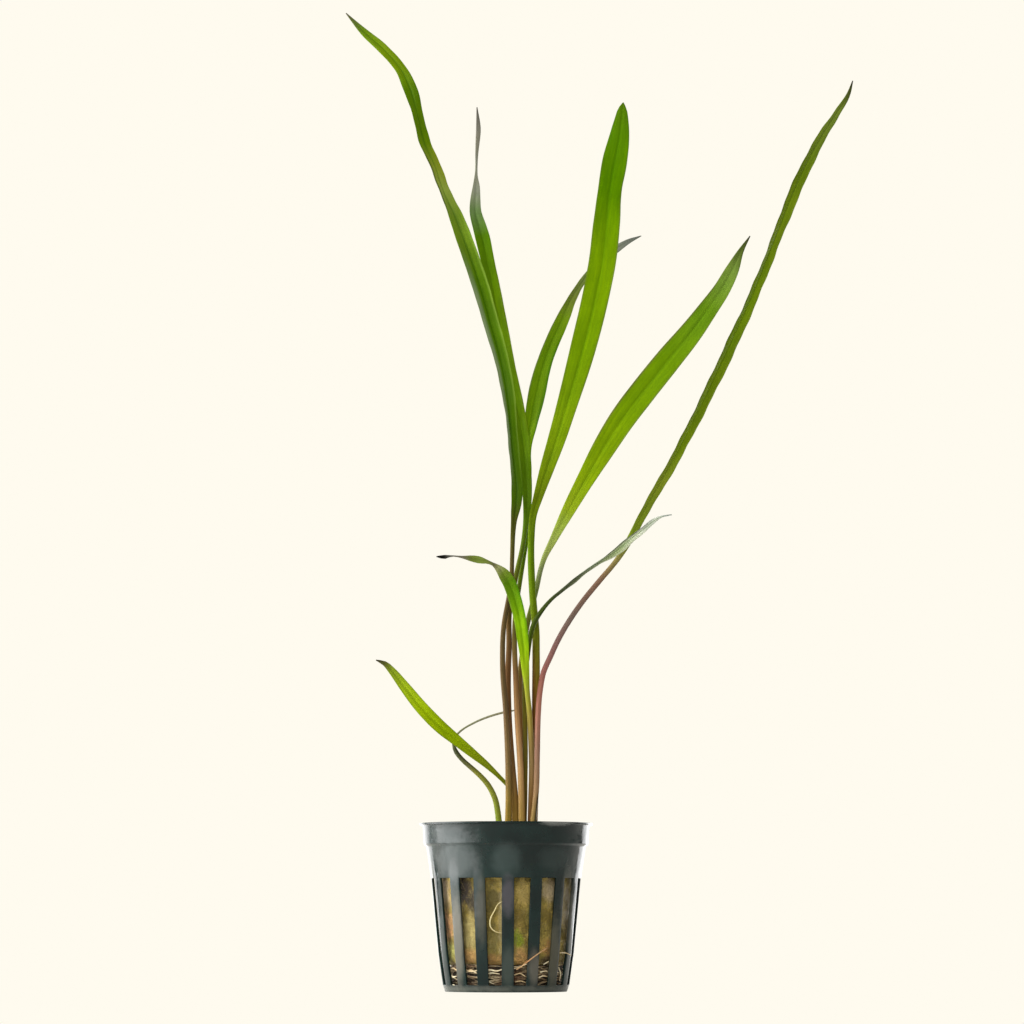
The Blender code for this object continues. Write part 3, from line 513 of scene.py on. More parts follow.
# Roots at the pot's foot that the front slots show, each a thickness and a route in millimetres. Their
# tips keep this share of the thickness.
FRONT_ROOT_TIP = 0.6
FRONT_ROOTS = [
    (0.4, [(-16.4, -7.4, 6.4), (-15.6, -8.6, 6.9), (-14.2, -10.6, 6.2), (-13.1, -11.9, 5.4)]),
    (0.5, [(-15.9, -8.2, 4.7), (-15.2, -9.4, 4.3), (-14.4, -10.3, 4.6)]),
    (0.4, [(-15.4, -8.8, 2.1), (-14.9, -9.6, 1.9)]),
    (0.5, [(-12.6, -12.6, 7.4), (-11.4, -13.6, 6.3), (-9.8, -14.8, 6.0), (-8.2, -15.8, 6.4)]),
    (0.55, [(-11.6, -13.2, 5.8), (-10.2, -14.4, 6.4), (-8.6, -15.4, 5.6)]),
    (0.55, [(-6.6, -16.4, 5.9), (-4.8, -17.0, 6.5), (-2.6, -17.4, 6.2), (-0.8, -17.6, 6.7)]),
    (0.4, [(-6.2, -16.6, 5.2), (-4.0, -17.2, 5.6), (-1.8, -17.4, 5.3)]),
    (0.28, [(-5.9, -16.6, 4.7), (-4.8, -17.0, 3.1), (-3.4, -17.2, 2.4)]),
    (0.34, [(2.2, -17.5, 6.8), (4.1, -17.3, 7.4), (6.3, -16.8, 8.3)]),
    (0.38, [(2.4, -17.4, 5.0), (4.0, -17.2, 5.5), (5.6, -16.9, 4.6)]),
    (0.3, [(2.6, -17.4, 3.0), (4.2, -17.1, 3.3), (5.8, -16.7, 2.8)]),
    (0.5, [(9.4, -15.0, 4.2), (10.6, -14.2, 4.7), (12.4, -12.8, 4.4)]),
    (0.4, [(9.9, -14.8, 5.8), (11.6, -13.6, 6.1), (12.9, -12.4, 5.4)]),
    (0.34, [(10.9, -14.6, 8.0), (12.2, -13.8, 8.8), (13.6, -12.8, 9.4)]),
    (0.3, [(15.6, -11.4, 11.4), (17.4, -10.0, 11.3), (19.0, -8.2, 10.6)]),
    (0.36, [(15.3, -9.8, 7.2), (15.9, -8.9, 5.2), (15.6, -8.4, 3.2)]),
    (0.34, [(16.6, -7.6, 6.8), (16.9, -6.8, 4.6), (16.2, -6.4, 2.8)]),
]

# Root tangle, in millimetres
TANGLE_ROOTS = 150
TANGLE_SEED = 11
TANGLE_STEP = 0.7
TANGLE_LOW_Z = 1.9
TANGLE_HIGH_Z = 8.4
TANGLE_RADIUS = 17.1
TANGLE_DEPTHS = (-0.9, 0.5)
TANGLE_FLARE = 0.09
TANGLE_THICKNESSES = (0.14, 0.2, 0.28, 0.4)
TANGLE_THICKNESS_ODDS = (0.4, 0.35, 0.18, 0.07)
TANGLE_TAPER = 0.7

# How a tangled root wanders: its count of steps, its sway in and out and the sway's pace at each step,
# the spread of its climb at the start and at each step, and how much of the climb lasts to the next step
TANGLE_STEP_COUNTS = (10, 34)
TANGLE_SWAY = 0.25
TANGLE_SWAY_PACE = 0.7
TANGLE_FIRST_CLIMB = 0.16
TANGLE_CLIMB_CHANGE = 0.09
TANGLE_CLIMB_LASTS = 0.9

# Bed in the middle of the tangle, in millimetres. Its dark brown is painted shade in the gaps between the
# roots.
BED_RADIUS = 16.3
BED_FOOT_SHARE = 0.9
BED_FOOT_Z = 1.5
BED_FOOT_HEIGHT = 0.5
BED_TOP_Z = 8.2
BED_COLUMNS = 120
BED_ROW = 0.6
BED_LUMP = 0.7
BED_LUMP_SCALE = 420.0

# Crown, in millimetres
CROWN_CENTRE = (3.6, -0.1)
CROWN_HALF_LENGTH = 7.8
CROWN_HALF_DEPTH = 5.0
CROWN_TOP_Z = 47.0
CROWN_DEPTH = 8.0
CROWN_COLUMNS = 72
CROWN_ROW = 0.3
CROWN_LUMP = 0.3
CROWN_LUMP_SCALE = 520.0

# The crown's outline from its foot up: each point's height and radius as shares of the whole
CROWN_OUTLINE = [(0.0, 0.35), (0.16, 0.72), (0.45, 0.95), (0.72, 1.0), (0.97, 0.97), (1.0, 0.9)]

# The sky's light on the plant
SKY_COLOUR = (1.0, 0.99, 0.95, 1.0)
SKY_STRENGTH = 0.5

# Tones on a screen's scale of 0 to 255. The floor's pair is near and far, the others are dark and light.
STUDIO_CREAM = (255, 251, 239)
FLOOR_TONES = ((232, 230, 224), (96, 95, 92))
POT_TONES = ((2, 20, 18), (8, 31, 28))
WOOL_TONES = ((148, 132, 56), (206, 178, 88))
WOOL_STAIN = (112, 98, 36)
WOOL_STAIN_SCALE = 260.0
WOOL_STAIN_STRETCH = (1.0, 1.0, 0.45)
FIBRE_TONES = ((104, 96, 44), (164, 146, 92))
FIBRE_SPECK = (84, 66, 34)
# The bed's pair is painted shade between the roots.
BED_SHADE_TONES = ((46, 36, 24), (82, 60, 36))
BARK_TONES = ((84, 62, 34), (138, 106, 60))
BARK_AND_BED_SPECK = (22, 17, 12)

# Shades of the fine specks on wool and roots: a strength, and the colour that multiplies the piece's own
WOOL_SHADE = (0.5, (0.6, 0.56, 0.48, 1.0))
ROOT_SHADE = (0.35, (0.62, 0.55, 0.42, 1.0))

# A patch frays out between two shares of its reach, by noise of this scale
PATCH_CORE = 0.45
PATCH_RIM = 1.2
PATCH_GRAIN = 420.0

# Dusty film on the pot, with painted reflections, in millimetres: centre, reach each way, tone and strength.
# The pale grey patches on the left of the collar and the band, and the one on the lip, are painted
# reflections of the lamps. The patches on the ribs are partly painted light, partly film.
POT_DUST_AND_REFLECTIONS = [
    ((-15.0, -18.0, 38.0), (7.6, 12.0, 7.0), (108, 114, 114), 0.4),
    ((-17.0, -17.0, 46.3), (7.0, 12.0, 4.4), (100, 105, 106), 0.3),
    ((0.0, -23.0, 38.2), (4.8, 8.0, 5.6), (76, 88, 86), 0.3),
    ((14.0, -18.0, 38.6), (6.0, 8.0, 3.6), (66, 78, 75), 0.2),
    ((15.0, -20.0, 49.0), (6.0, 7.0, 1.2), (150, 152, 148), 0.5),
    ((-14.2, -14.4, 14.0), (2.3, 5.0, 17.0), (124, 119, 106), 0.45),
    ((-7.0, -19.0, 24.0), (2.0, 5.0, 11.0), (92, 88, 74), 0.3),
    ((0.6, -20.0, 28.0), (2.2, 5.0, 7.0), (88, 82, 88), 0.5),
    ((0.6, -20.0, 7.0), (2.2, 5.0, 7.0), (78, 84, 76), 0.35),
    ((8.4, -18.0, 7.0), (2.2, 5.0, 6.0), (108, 103, 92), 0.55),
    ((14.0, -15.0, 10.0), (2.4, 5.0, 13.0), (92, 86, 68), 0.5),
    ((17.6, -11.0, 24.0), (2.4, 5.0, 14.0), (116, 113, 100), 0.4),
    ((0.0, 0.0, 0.9), (24.0, 24.0, 1.5), (110, 111, 102), 0.6),
]

# Patches on the wool, in millimetres: centre, reach each way, tone and strength. The dark ones at the tops
# of the slots, under the band, are painted shade. The pale one in the far right slot is partly a painted
# reflection.
WOOL_PATCHES_AND_PAINTED_LIGHT = [
    ((-18.5, -8.0, 29.0), (3.2, 7.0, 6.0), (190, 166, 128), 0.9),
    ((-18.0, -8.0, 19.0), (3.2, 7.0, 5.5), (214, 160, 112), 0.9),
    ((-17.0, -8.0, 11.0), (3.4, 7.0, 3.6), (186, 184, 100), 0.85),
    ((-12.2, -14.0, 29.6), (3.6, 7.0, 5.6), (54, 42, 30), 1.0),
    ((-9.6, -16.0, 26.4), (2.4, 7.0, 5.0), (62, 54, 40), 0.95),
    ((-10.4, -16.0, 17.0), (2.4, 7.0, 7.0), (190, 174, 110), 0.75),
    ((-10.5, -15.0, 10.5), (4.0, 7.0, 2.6), (190, 142, 86), 0.7),
    ((-3.6, -18.0, 27.5), (2.6, 7.0, 5.5), (92, 84, 40), 0.85),
    ((-3.6, -18.0, 15.5), (2.2, 7.0, 4.5), (112, 102, 50), 0.7),
    ((-1.4, -19.0, 21.0), (0.9, 7.0, 14.0), (184, 168, 118), 0.6),
    ((7.6, -18.0, 24.0), (1.4, 7.0, 7.0), (120, 118, 40), 0.7),
    ((4.0, -18.0, 21.5), (2.0, 7.0, 3.0), (128, 108, 38), 0.7),
    ((-3.2, -18.0, 9.0), (4.0, 7.0, 2.2), (170, 122, 72), 0.6),
    ((3.4, -18.0, 15.4), (2.2, 7.0, 2.6), (150, 166, 38), 0.95),
    ((5.2, -18.0, 29.0), (3.0, 7.0, 4.4), (200, 174, 98), 0.8),
    ((4.6, -18.0, 10.0), (3.6, 7.0, 3.0), (206, 158, 94), 0.8),
    ((12.8, -15.0, 30.0), (0.8, 7.0, 1.0), (50, 38, 26), 1.0),
    ((13.0, -15.0, 29.5), (3.4, 7.0, 4.2), (200, 180, 142), 0.85),
    ((13.0, -14.0, 12.5), (3.0, 7.0, 3.0), (196, 142, 84), 0.7),
    ((12.6, -14.0, 9.0), (3.2, 7.0, 1.8), (74, 56, 38), 0.8),
    ((18.0, -9.0, 24.0), (2.4, 7.0, 9.0), (176, 162, 128), 0.85),
]


def tint(tone):
    """A tone on a screen's scale of 0 to 255 as linear RGBA."""
    shares = [value / 255.0 for value in tone]
    return (*[s / 12.92 if s <= 0.04045 else ((s + 0.055) / 1.055) ** 2.4 for s in shares], 1.0)


class Steps:
    """A node tree that is filled step by step. A value is a number, a colour or another step's output."""

    def __init__(self, tree):
        self.tree = tree

    def add(self, kind, values=None, **settings):
        made = self.tree.nodes.new(kind)
        for name, setting in settings.items():
            setattr(made, name, setting)
        for socket, value in (values or {}).items():
            self.feed(made.inputs[socket], value)
        return made

    def feed(self, socket, value):
        if isinstance(value, bpy.types.NodeSocket):
            self.tree.links.new(value, socket)
        else:
            socket.default_value = value

    def sum(self, operation, *values):
        return self.add("ShaderNodeMath", dict(enumerate(values)), operation=operation).outputs[0]

    def mix(self, share, first, second, kind="MIX"):
        """The colour between two colours, or their product and the like."""
        values = {"Factor": share, "A": first, "B": second}
        node = self.add("ShaderNodeMix", data_type="RGBA", blend_type=kind)
        for socket in node.inputs:
            if socket.enabled and socket.name in values:
                self.feed(socket, values[socket.name])
        return next(socket for socket in node.outputs if socket.enabled)

    def between(self, value, low, high, start=0.0, end=1.0):
        """A value's smooth way from start to end as it goes from low to high."""
        values = {0: value, 1: low, 2: high, 3: start, 4: end}
        return self.add("ShaderNodeMapRange", values, interpolation_type="SMOOTHSTEP").outputs[0]

    def noise(self, vector, scale, detail=3.0, roughness=0.55):
        values = {"Vector": vector, "Scale": scale, "Detail": detail, "Roughness": roughness}
        return self.add("ShaderNodeTexNoise", values).outputs[0]

    def ramp(self, value, stops):
        node = self.add("ShaderNodeValToRGB", {0: value})
        points = node.color_ramp.elements
        while len(points) < len(stops):
            points.new(1.0)
        for point, (place, colour) in zip(points, stops):
            point.position = place
            point.color = colour
        return node.outputs[0]

    def tones(self, share, pair):
        """The colour between two tones."""
        return self.mix(share, tint(pair[0]), tint(pair[1]))

    def stain(self, colour, mask, strength, tone):
        """A colour covered by a tone as far as the mask and the strength say."""
        return self.mix(self.sum("MULTIPLY", mask, strength), colour, tint(tone))

    def shade(self, colour, mask, strength, second):
        """A colour multiplied by another as far as the mask and the strength say."""
        return self.mix(self.sum("MULTIPLY", mask, strength), colour, second, "MULTIPLY")

    def group(self, tree, values):
        return self.add("ShaderNodeGroup", values, node_tree=tree)


def group_tree(name, kind, inputs, outputs):
    """An empty node group with named inputs, each with its socket type and value, and named outputs."""
    tree = bpy.data.node_groups.new(name, kind)
    for label, socket_type, value in inputs:
        socket = tree.interface.new_socket(label, in_out="INPUT", socket_type=socket_type)
        if value is not None:
            socket.default_value = value
    for label, socket_type in outputs:
        tree.interface.new_socket(label, in_out="OUTPUT", socket_type=socket_type)
    steps = Steps(tree)
    return steps, steps.add("NodeGroupInput"), steps.add("NodeGroupOutput")


def mottle_group():
    """Broad soft clouds and fine specks over a surface, both from 0 to 1."""
    inputs = [
        ("Place", "NodeSocketVector", None),
        ("Broad Scale", "NodeSocketFloat", 60.0),
        ("Fine Scale", "NodeSocketFloat", 900.0),
    ]
    outputs = [("Broad", "NodeSocketFloat"), ("Fine", "NodeSocketFloat")]
    steps, given, result = group_tree("mottle", "ShaderNodeTree", inputs, outputs)
    broad = steps.noise(given.outputs["Place"], given.outputs["Broad Scale"])
    fine = steps.noise(given.outputs["Place"], given.outputs["Fine Scale"], detail=4.0, roughness=0.65)
    steps.feed(result.inputs["Broad"], steps.between(broad, low=0.35, high=0.65))
    steps.feed(result.inputs["Fine"], steps.between(fine, low=0.35, high=0.68))
    return steps.tree


def patch_group():
    """A mask that is 1 within an oval patch and frays out at its rim."""
    inputs = [
        ("Place", "NodeSocketVector", None),
        ("Centre", "NodeSocketVector", (0.0, 0.0, 0.0)),
        ("Reach", "NodeSocketVector", (1.0, 1.0, 1.0)),
        ("Strength", "NodeSocketFloat", 1.0),
        ("Fray", "NodeSocketFloat", 1.0),
    ]
    steps, given, result = group_tree("patch", "ShaderNodeTree", inputs, [("Mask", "NodeSocketFloat")])
    place = given.outputs["Place"]
    apart = steps.add("ShaderNodeVectorMath", {0: place, 1: given.outputs["Centre"]}, operation="SUBTRACT")
    shares = {0: apart.outputs[0], 1: given.outputs["Reach"]}
    scaled = steps.add("ShaderNodeVectorMath", shares, operation="DIVIDE")
    far = steps.add("ShaderNodeVectorMath", {0: scaled.outputs[0]}, operation="LENGTH").outputs["Value"]
    rough = steps.sum("SUBTRACT", steps.noise(place, PATCH_GRAIN, detail=4.0, roughness=0.6), 0.5)
    fray = steps.sum("MULTIPLY", rough, given.outputs["Fray"])
    mask = steps.between(steps.sum("ADD", far, fray), PATCH_CORE, PATCH_RIM, start=1.0, end=0.0)
    steps.feed(result.inputs["Mask"], steps.sum("MULTIPLY", mask, given.outputs["Strength"]))
    return steps.tree


def leaf_lines_group():
    """A leaf's lengthwise lines: masks of its veins, of broader bands and of its midrib.

    The offset is a point's way across the blade, from -1 at the left margin to 1 at the right one.
    """
    inputs = [
        ("Across", "NodeSocketFloat", 0.5),
        ("Along", "NodeSocketFloat", 0.5),
        ("Streaks Across", "NodeSocketFloat", 9.0),
        ("Streaks Along", "NodeSocketFloat", 12.0),
    ]
    outputs = [(label, "NodeSocketFloat") for label in ("Veins", "Bands", "Midrib", "Offset")]
    steps, given, result = group_tree("leaf_lines", "ShaderNodeTree", inputs, outputs)
    across = given.outputs["Across"]
    stretched = {
        0: steps.sum("MULTIPLY", across, given.outputs["Streaks Across"]),
        1: steps.sum("MULTIPLY", given.outputs["Along"], given.outputs["Streaks Along"]),
    }
    place = steps.add("ShaderNodeCombineXYZ", stretched).outputs[0]
    offset = steps.sum("MULTIPLY", steps.sum("SUBTRACT", across, 0.5), 2.0)
    wide = steps.add("ShaderNodeVectorMath", {0: place, 1: BAND_STRETCH}, operation="MULTIPLY").outputs[0]
    veins = steps.noise(place, LINE_SCALE, detail=1.0, roughness=0.5)
    bands = steps.noise(wide, LINE_SCALE, detail=0.0)
    apart = steps.sum("ABSOLUTE", offset)
    steps.feed(result.inputs["Veins"], steps.between(veins, low=0.3, high=0.7))
    steps.feed(result.inputs["Bands"], steps.between(bands, low=0.36, high=0.64))
    steps.feed(result.inputs["Midrib"], steps.between(apart, 0.0, MIDRIB_REACH, start=1.0, end=0.0))
    steps.feed(result.inputs["Offset"], offset)
    return steps.tree


mottle = mottle_group()
patch = patch_group()
leaf_lines = leaf_lines_group()


def new_material(name):
    """A material with its steps and its Principled shader."""
    material = bpy.data.materials.new(name)
    material.use_nodes = True
    steps = Steps(material.node_tree)
    return material, steps, material.node_tree.nodes["Principled BSDF"]


def object_place(steps):
    """A point's place in metres."""
    return steps.add("ShaderNodeTexCoord").outputs["Object"]


def clouded(steps, broad_scale, fine_scale):
    """A point's place, and the broad clouds and fine specks there."""
    place = object_place(steps)
    cloud = steps.group(mottle, {"Place": place, "Broad Scale": broad_scale, "Fine Scale": fine_scale})
    return place, cloud.outputs["Broad"], cloud.outputs["Fine"]


def patched(steps, place, colour, patches, fray):
    """Lays patches over a colour, each with its own centre, reach, tone and strength."""
    for centre, reach, tone, strength in patches:
        values = {
            "Place": place,
            "Centre": [value * MM for value in centre],
            "Reach": [value * MM for value in reach],
            "Strength": strength,
            "Fray": fray,
        }
        mask = steps.group(patch, values).outputs["Mask"]
        colour = steps.mix(mask, colour, tint(tone))
    return colour


def coloured(steps, shader, colour, mask, roughness):
    """Gives a shader its colour, and a roughness between two values as a mask goes from 0 to 1."""
    steps.feed(shader.inputs["Base Color"], colour)
    steps.feed(shader.inputs["Roughness"], steps.between(mask, 0.0, 1.0, *roughness))


def raised(steps, shader, height, depth):
    """Lets a height from 0 to 1 lift the surface by a real depth in metres."""
    bump = steps.add("ShaderNodeBump", {"Height": height, "Distance": depth, "Strength": 1.0})
    steps.feed(shader.inputs["Normal"], bump.outputs[0])


def leaf_material(name, looks, marks, width):
    """A leaf's green from its tones along the route, with edges, midrib, veins and mottling over it. A few
    tones and edges are painted highlights and sheen.
    """
    material, steps, shader = new_material(name)
    leaf_place = steps.add("ShaderNodeUVMap", uv_map="leaf").outputs[0]
    split = steps.add("ShaderNodeSeparateXYZ", {0: leaf_place})
    along = split.outputs[1]
    length = marks[-1]
    values = {
        "Across": split.outputs[0],
        "Along": along,
        "Streaks Across": VEINS_ACROSS * width,
        "Streaks Along": length / VEIN_LENGTH,
    }
    lines = steps.group(leaf_lines, values).outputs
    _, broad, fine = clouded(steps, broad_scale=110.0, fine_scale=500.0)
    colour = steps.ramp(along, [(marks[point] / length, tint(tone)) for point, tone in looks["tones"]])
    for side, reach, tone, strength, first, last in looks["edges"]:
        outward = steps.sum("MULTIPLY", lines["Offset"], float(side))
        begins = 1.0 - EDGE_BEGINS * reach
        full = 1.0 - EDGE_FULL * reach
        across_mask = steps.between(outward, begins, full, 0.0, strength)
        fade = EDGE_FADE * (marks[last] - marks[first]) / length
        start = marks[first] / length
        end = marks[last] / length
        begun = steps.between(along, start, start + fade)
        ended = steps.between(along, end - fade, end, start=1.0, end=0.0)
        mask = steps.sum("MULTIPLY", across_mask, steps.sum("MULTIPLY", begun, ended))
        colour = steps.mix(mask, colour, tint(tone))
    colour = steps.shade(colour, lines["Midrib"], looks["midrib"], MIDRIB_COLOUR)
    colour = steps.shade(colour, lines["Veins"], *VEIN_SHADE)
    colour = steps.shade(colour, lines["Bands"], *BAND_SHADE)
    colour = steps.shade(colour, broad, *CLOUD_SHADE)
    colour = steps.shade(colour, fine, *SPECK_SHADE)
    coloured(steps, shader, colour, lines["Veins"], roughness=(0.32, 0.5))
    shader.inputs["Specular IOR Level"].default_value = 0.03
    raised(steps, shader, lines["Veins"], VEIN_DEPTH)
    return material


def pot_material():
    """Dark, glossy, faintly teal plastic with flow marks, a thin dusty film and painted reflections of the
    lamps.
    """
    material, steps, shader = new_material("pot_plastic_worn")
    place, broad, _ = clouded(steps, broad_scale=120.0, fine_scale=900.0)
    # The patches are a dusty film and painted reflections of the lamps.
    colour = patched(steps, place, steps.tones(broad, POT_TONES), POT_DUST_AND_REFLECTIONS, fray=0.5)
    coloured(steps, shader, colour, broad, roughness=(0.12, 0.2))
    shader.inputs["Specular IOR Level"].default_value = 0.27
    raised(steps, shader, broad, depth=0.05 * MM)
    return material


def wool_material():
    """Wet mineral wool: olive and golden, with beige and mossy patches, painted shade at the tops of the
    slots and a painted reflection in the far right slot.
    """
    material, steps, shader = new_material("mineral_wool_wet")
    place, broad, fine = clouded(steps, broad_scale=190.0, fine_scale=1700.0)
    drawn = steps.add("ShaderNodeMapping", {"Vector": place, "Scale": WOOL_STAIN_STRETCH}).outputs[0]
    blotches = steps.noise(drawn, WOOL_STAIN_SCALE, detail=4.0, roughness=0.6)
    stained = steps.between(blotches, low=0.38, high=0.62)
    colour = steps.stain(steps.tones(broad, WOOL_TONES), stained, strength=0.7, tone=WOOL_STAIN)
    # Some patches are painted shade at the slots' tops, and one is a painted reflection in the far right
    # slot.
    colour = patched(steps, place, colour, WOOL_PATCHES_AND_PAINTED_LIGHT, fray=1.5)
    colour = steps.shade(colour, fine, *WOOL_SHADE)
    coloured(steps, shader, colour, stained, roughness=(0.6, 0.95))
    raised(steps, shader, fine, depth=0.35 * MM)
    return material


def fibre_material():
    """Loose wool fibres, from straw to olive."""
    material, steps, shader = new_material("wool_fibre")
    _, broad, fine = clouded(steps, broad_scale=260.0, fine_scale=1200.0)
    colour = steps.stain(steps.tones(broad, FIBRE_TONES), fine, strength=0.5, tone=FIBRE_SPECK)
    coloured(steps, shader, colour, fine, roughness=(0.55, 0.85))
    return material


def root_material(name):
    """Root skin from a pale to a brown tone, with specks."""
    material, steps, shader = new_material(name)
    pale, brown, brown_share = ROOT_SKINS[name]
    _, broad, fine = clouded(steps, broad_scale=210.0, fine_scale=2200.0)
    colour = steps.tones(steps.sum("MULTIPLY", broad, brown_share), (pale, brown))
    colour = steps.shade(colour, fine, *ROOT_SHADE)
    coloured(steps, shader, colour, fine, roughness=(0.4, 0.7))
    shader.inputs["Subsurface Weight"].default_value = 0.1
    shader.inputs["Subsurface Radius"].default_value = (0.3 * MM, 0.25 * MM, 0.15 * MM)
    shader.inputs["Subsurface Scale"].default_value = 1.0
    raised(steps, shader, fine, depth=0.06 * MM)
    return material


def bark_and_bed_shade_material(name, tones):
    """Bark for the crown, and painted shade for the root bed, each between a dark and a light tone."""
    material, steps, shader = new_material(name)
    _, broad, fine = clouded(steps, broad_scale=300.0, fine_scale=1500.0)
    colour = steps.stain(steps.tones(broad, tones), fine, strength=0.5, tone=BARK_AND_BED_SPECK)
    coloured(steps, shader, colour, fine, roughness=(0.6, 0.9))
    raised(steps, shader, fine, depth=0.3 * MM)
    return material


def new_object(name, data):
    """An object in the scene, with its mesh, lens or light."""
    made = bpy.data.objects.new(name, data)
    bpy.context.scene.collection.objects.link(made)
    return made


def keep(name, mesh, material, slot, *nodes):
    """Makes a finished mesh a piece that rides on the body and stands for CAD nodes."""
    if material is not None:
        mesh.materials.clear()
        mesh.materials.append(material)
    piece = new_object(name, mesh)
    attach(piece, BODY)
    if nodes:
        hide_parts(*nodes)


def mesh_from(name, builder, sharp_angle=60.0):
    """Turns a bmesh into a smooth-shaded mesh whose faces point outwards."""
    bmesh.ops.recalc_face_normals(builder, faces=builder.faces)
    mesh = bpy.data.meshes.new(name)
    builder.to_mesh(mesh)
    builder.free()
    mesh.shade_smooth()
    mesh.set_sharp_from_angle(angle=math.radians(sharp_angle))
    return mesh


def grow(mesh, tree, values):
    """Runs a geometry node tree on a mesh and gives its result as a plain mesh."""
    source = new_object(mesh.name + "_source", mesh)
    modifier = source.modifiers.new("grow", "NODES")
    modifier.node_group = tree
    for item in tree.interface.items_tree:
        if item.item_type == "SOCKET" and item.in_out == "INPUT" and item.name in values:
            modifier[item.identifier] = values[item.name]
    graph = bpy.context.evaluated_depsgraph_get()
    made = bpy.data.meshes.new_from_object(source.evaluated_get(graph), depsgraph=graph)
    source.modifiers.clear()
    bpy.data.objects.remove(source)
    return made


def geometry_group(name, inputs):
    """An empty geometry tree that takes a mesh and named inputs and gives geometry."""
    mesh_input = ("Geometry", "NodeSocketGeometry", None)
    return group_tree(name, "GeometryNodeTree", [mesh_input, *inputs], [("Geometry", "NodeSocketGeometry")])


def finish_geometry(steps, result, geometry, material):
    """The end of each geometry tree: real instances, smooth shading and a material."""
    real = steps.add("GeometryNodeRealizeInstances", {0: geometry}).outputs[0]
    smooth = steps.add("GeometryNodeSetShadeSmooth", {"Geometry": real}).outputs[0]
    dressed = steps.add("GeometryNodeSetMaterial", {"Geometry": smooth, "Material": material})
    steps.feed(result.inputs[0], dressed.outputs[0])


def wedge_tree():
    """Repeats a wedge of the pot around the upright axis and welds the wedges together."""
    inputs = [
        ("Wedges", "NodeSocketInt", RIBS // WEDGE_PITCHES),
        ("Weld Distance", "NodeSocketFloat", WELD_DISTANCE),
        ("Material", "NodeSocketMaterial", None),
    ]
    steps, given, result = geometry_group("pot_wedges_around", inputs)
    count = given.outputs["Wedges"]
    line = steps.add("GeometryNodeMeshLine", {"Count": count, "Offset": (0.0, 0.0, 0.0)}).outputs[0]
    step = steps.sum("DIVIDE", 2.0 * math.pi, count)
    turn = steps.sum("MULTIPLY", steps.add("GeometryNodeInputIndex").outputs[0], step)
    turned = steps.add("ShaderNodeCombineXYZ", {2: turn}).outputs[0]
    values = {"Points": line, "Instance": given.outputs["Geometry"], "Rotation": turned}
    around = steps.add("GeometryNodeInstanceOnPoints", values).outputs[0]
    real = steps.add("GeometryNodeRealizeInstances", {0: around}).outputs[0]
    weld = {"Geometry": real, "Distance": given.outputs["Weld Distance"]}
    welded = steps.add("GeometryNodeMergeByDistance", weld).outputs[0]
    finish_geometry(steps, result, welded, given.outputs["Material"])
    return steps.tree


def strand_tree():
    """Gives every line of edges a round body, as thick as its thickness attribute says."""
    inputs = [("Sides", "NodeSocketInt", 7), ("Material", "NodeSocketMaterial", None)]
    steps, given, result = geometry_group("strands_from_lines", inputs)
    curve = steps.add("GeometryNodeMeshToCurve", {0: given.outputs["Geometry"]}).outputs[0]
    thickness = steps.add("GeometryNodeInputNamedAttribute", {"Name": "thickness"}).outputs[0]
    circle = {"Resolution": given.outputs["Sides"], "Radius": 0.5}
    profile = steps.add("GeometryNodeCurvePrimitiveCircle", circle).outputs[0]
    values = {"Curve": curve, "Profile Curve": profile, "Scale": thickness, "Fill Caps": True}
    tube = steps.add("GeometryNodeCurveToMesh", values).outputs[0]
    finish_geometry(steps, result, tube, given.outputs["Material"])
    return steps.tree


def fibre_tree(fibre):
    """Scatters short bent fibres flat on a surface, each turned and sized at random."""
    inputs = [
        ("Density", "NodeSocketFloat", FIBRE_DENSITY),
        ("Seed", "NodeSocketInt", FIBRE_SEED),
        ("Smallest", "NodeSocketFloat", FIBRE_SIZES[0]),
        ("Largest", "NodeSocketFloat", FIBRE_SIZES[1]),
        ("Material", "NodeSocketMaterial", None),
    ]
    steps, given, result = geometry_group("fibres_on_surface", inputs)
    seed = given.outputs["Seed"]
    values = {"Mesh": given.outputs["Geometry"], "Density": given.outputs["Density"], "Seed": seed}
    scattered = steps.add("GeometryNodeDistributePointsOnFaces", values)
    random_turn = steps.add("FunctionNodeRandomValue", {"Seed": seed}, data_type="FLOAT")
    random_size = steps.add("FunctionNodeRandomValue", {"Seed": seed}, data_type="FLOAT")
    steps.feed(random_turn.inputs[3], 2.0 * math.pi)
    steps.feed(random_size.inputs[2], given.outputs["Smallest"])
    steps.feed(random_size.inputs[3], given.outputs["Largest"])
    spin = steps.add("ShaderNodeCombineXYZ", {2: random_turn.outputs[1]}).outputs[0]
    aligned = steps.add("FunctionNodeRotateRotation", rotation_space="LOCAL")
    steps.feed(aligned.inputs[0], scattered.outputs["Rotation"])
    steps.feed(aligned.inputs[1], spin)
    shape = steps.add("GeometryNodeObjectInfo", {"Object": fibre}).outputs["Geometry"]
    values = {
        "Points": scattered.outputs["Points"],
        "Instance": shape,
        "Rotation": aligned.outputs[0],
        "Scale": random_size.outputs[1],
    }
    placed = steps.add("GeometryNodeInstanceOnPoints", values).outputs[0]
    finish_geometry(steps, result, placed, given.outputs["Material"])
    return steps.tree


def measured(points):
    """The lengths between a line's points, and how far along the line each point lies."""
    steps = np.linalg.norm(np.diff(points, axis=0), axis=1)
    return steps, np.concatenate(([0.0], np.cumsum(steps)))


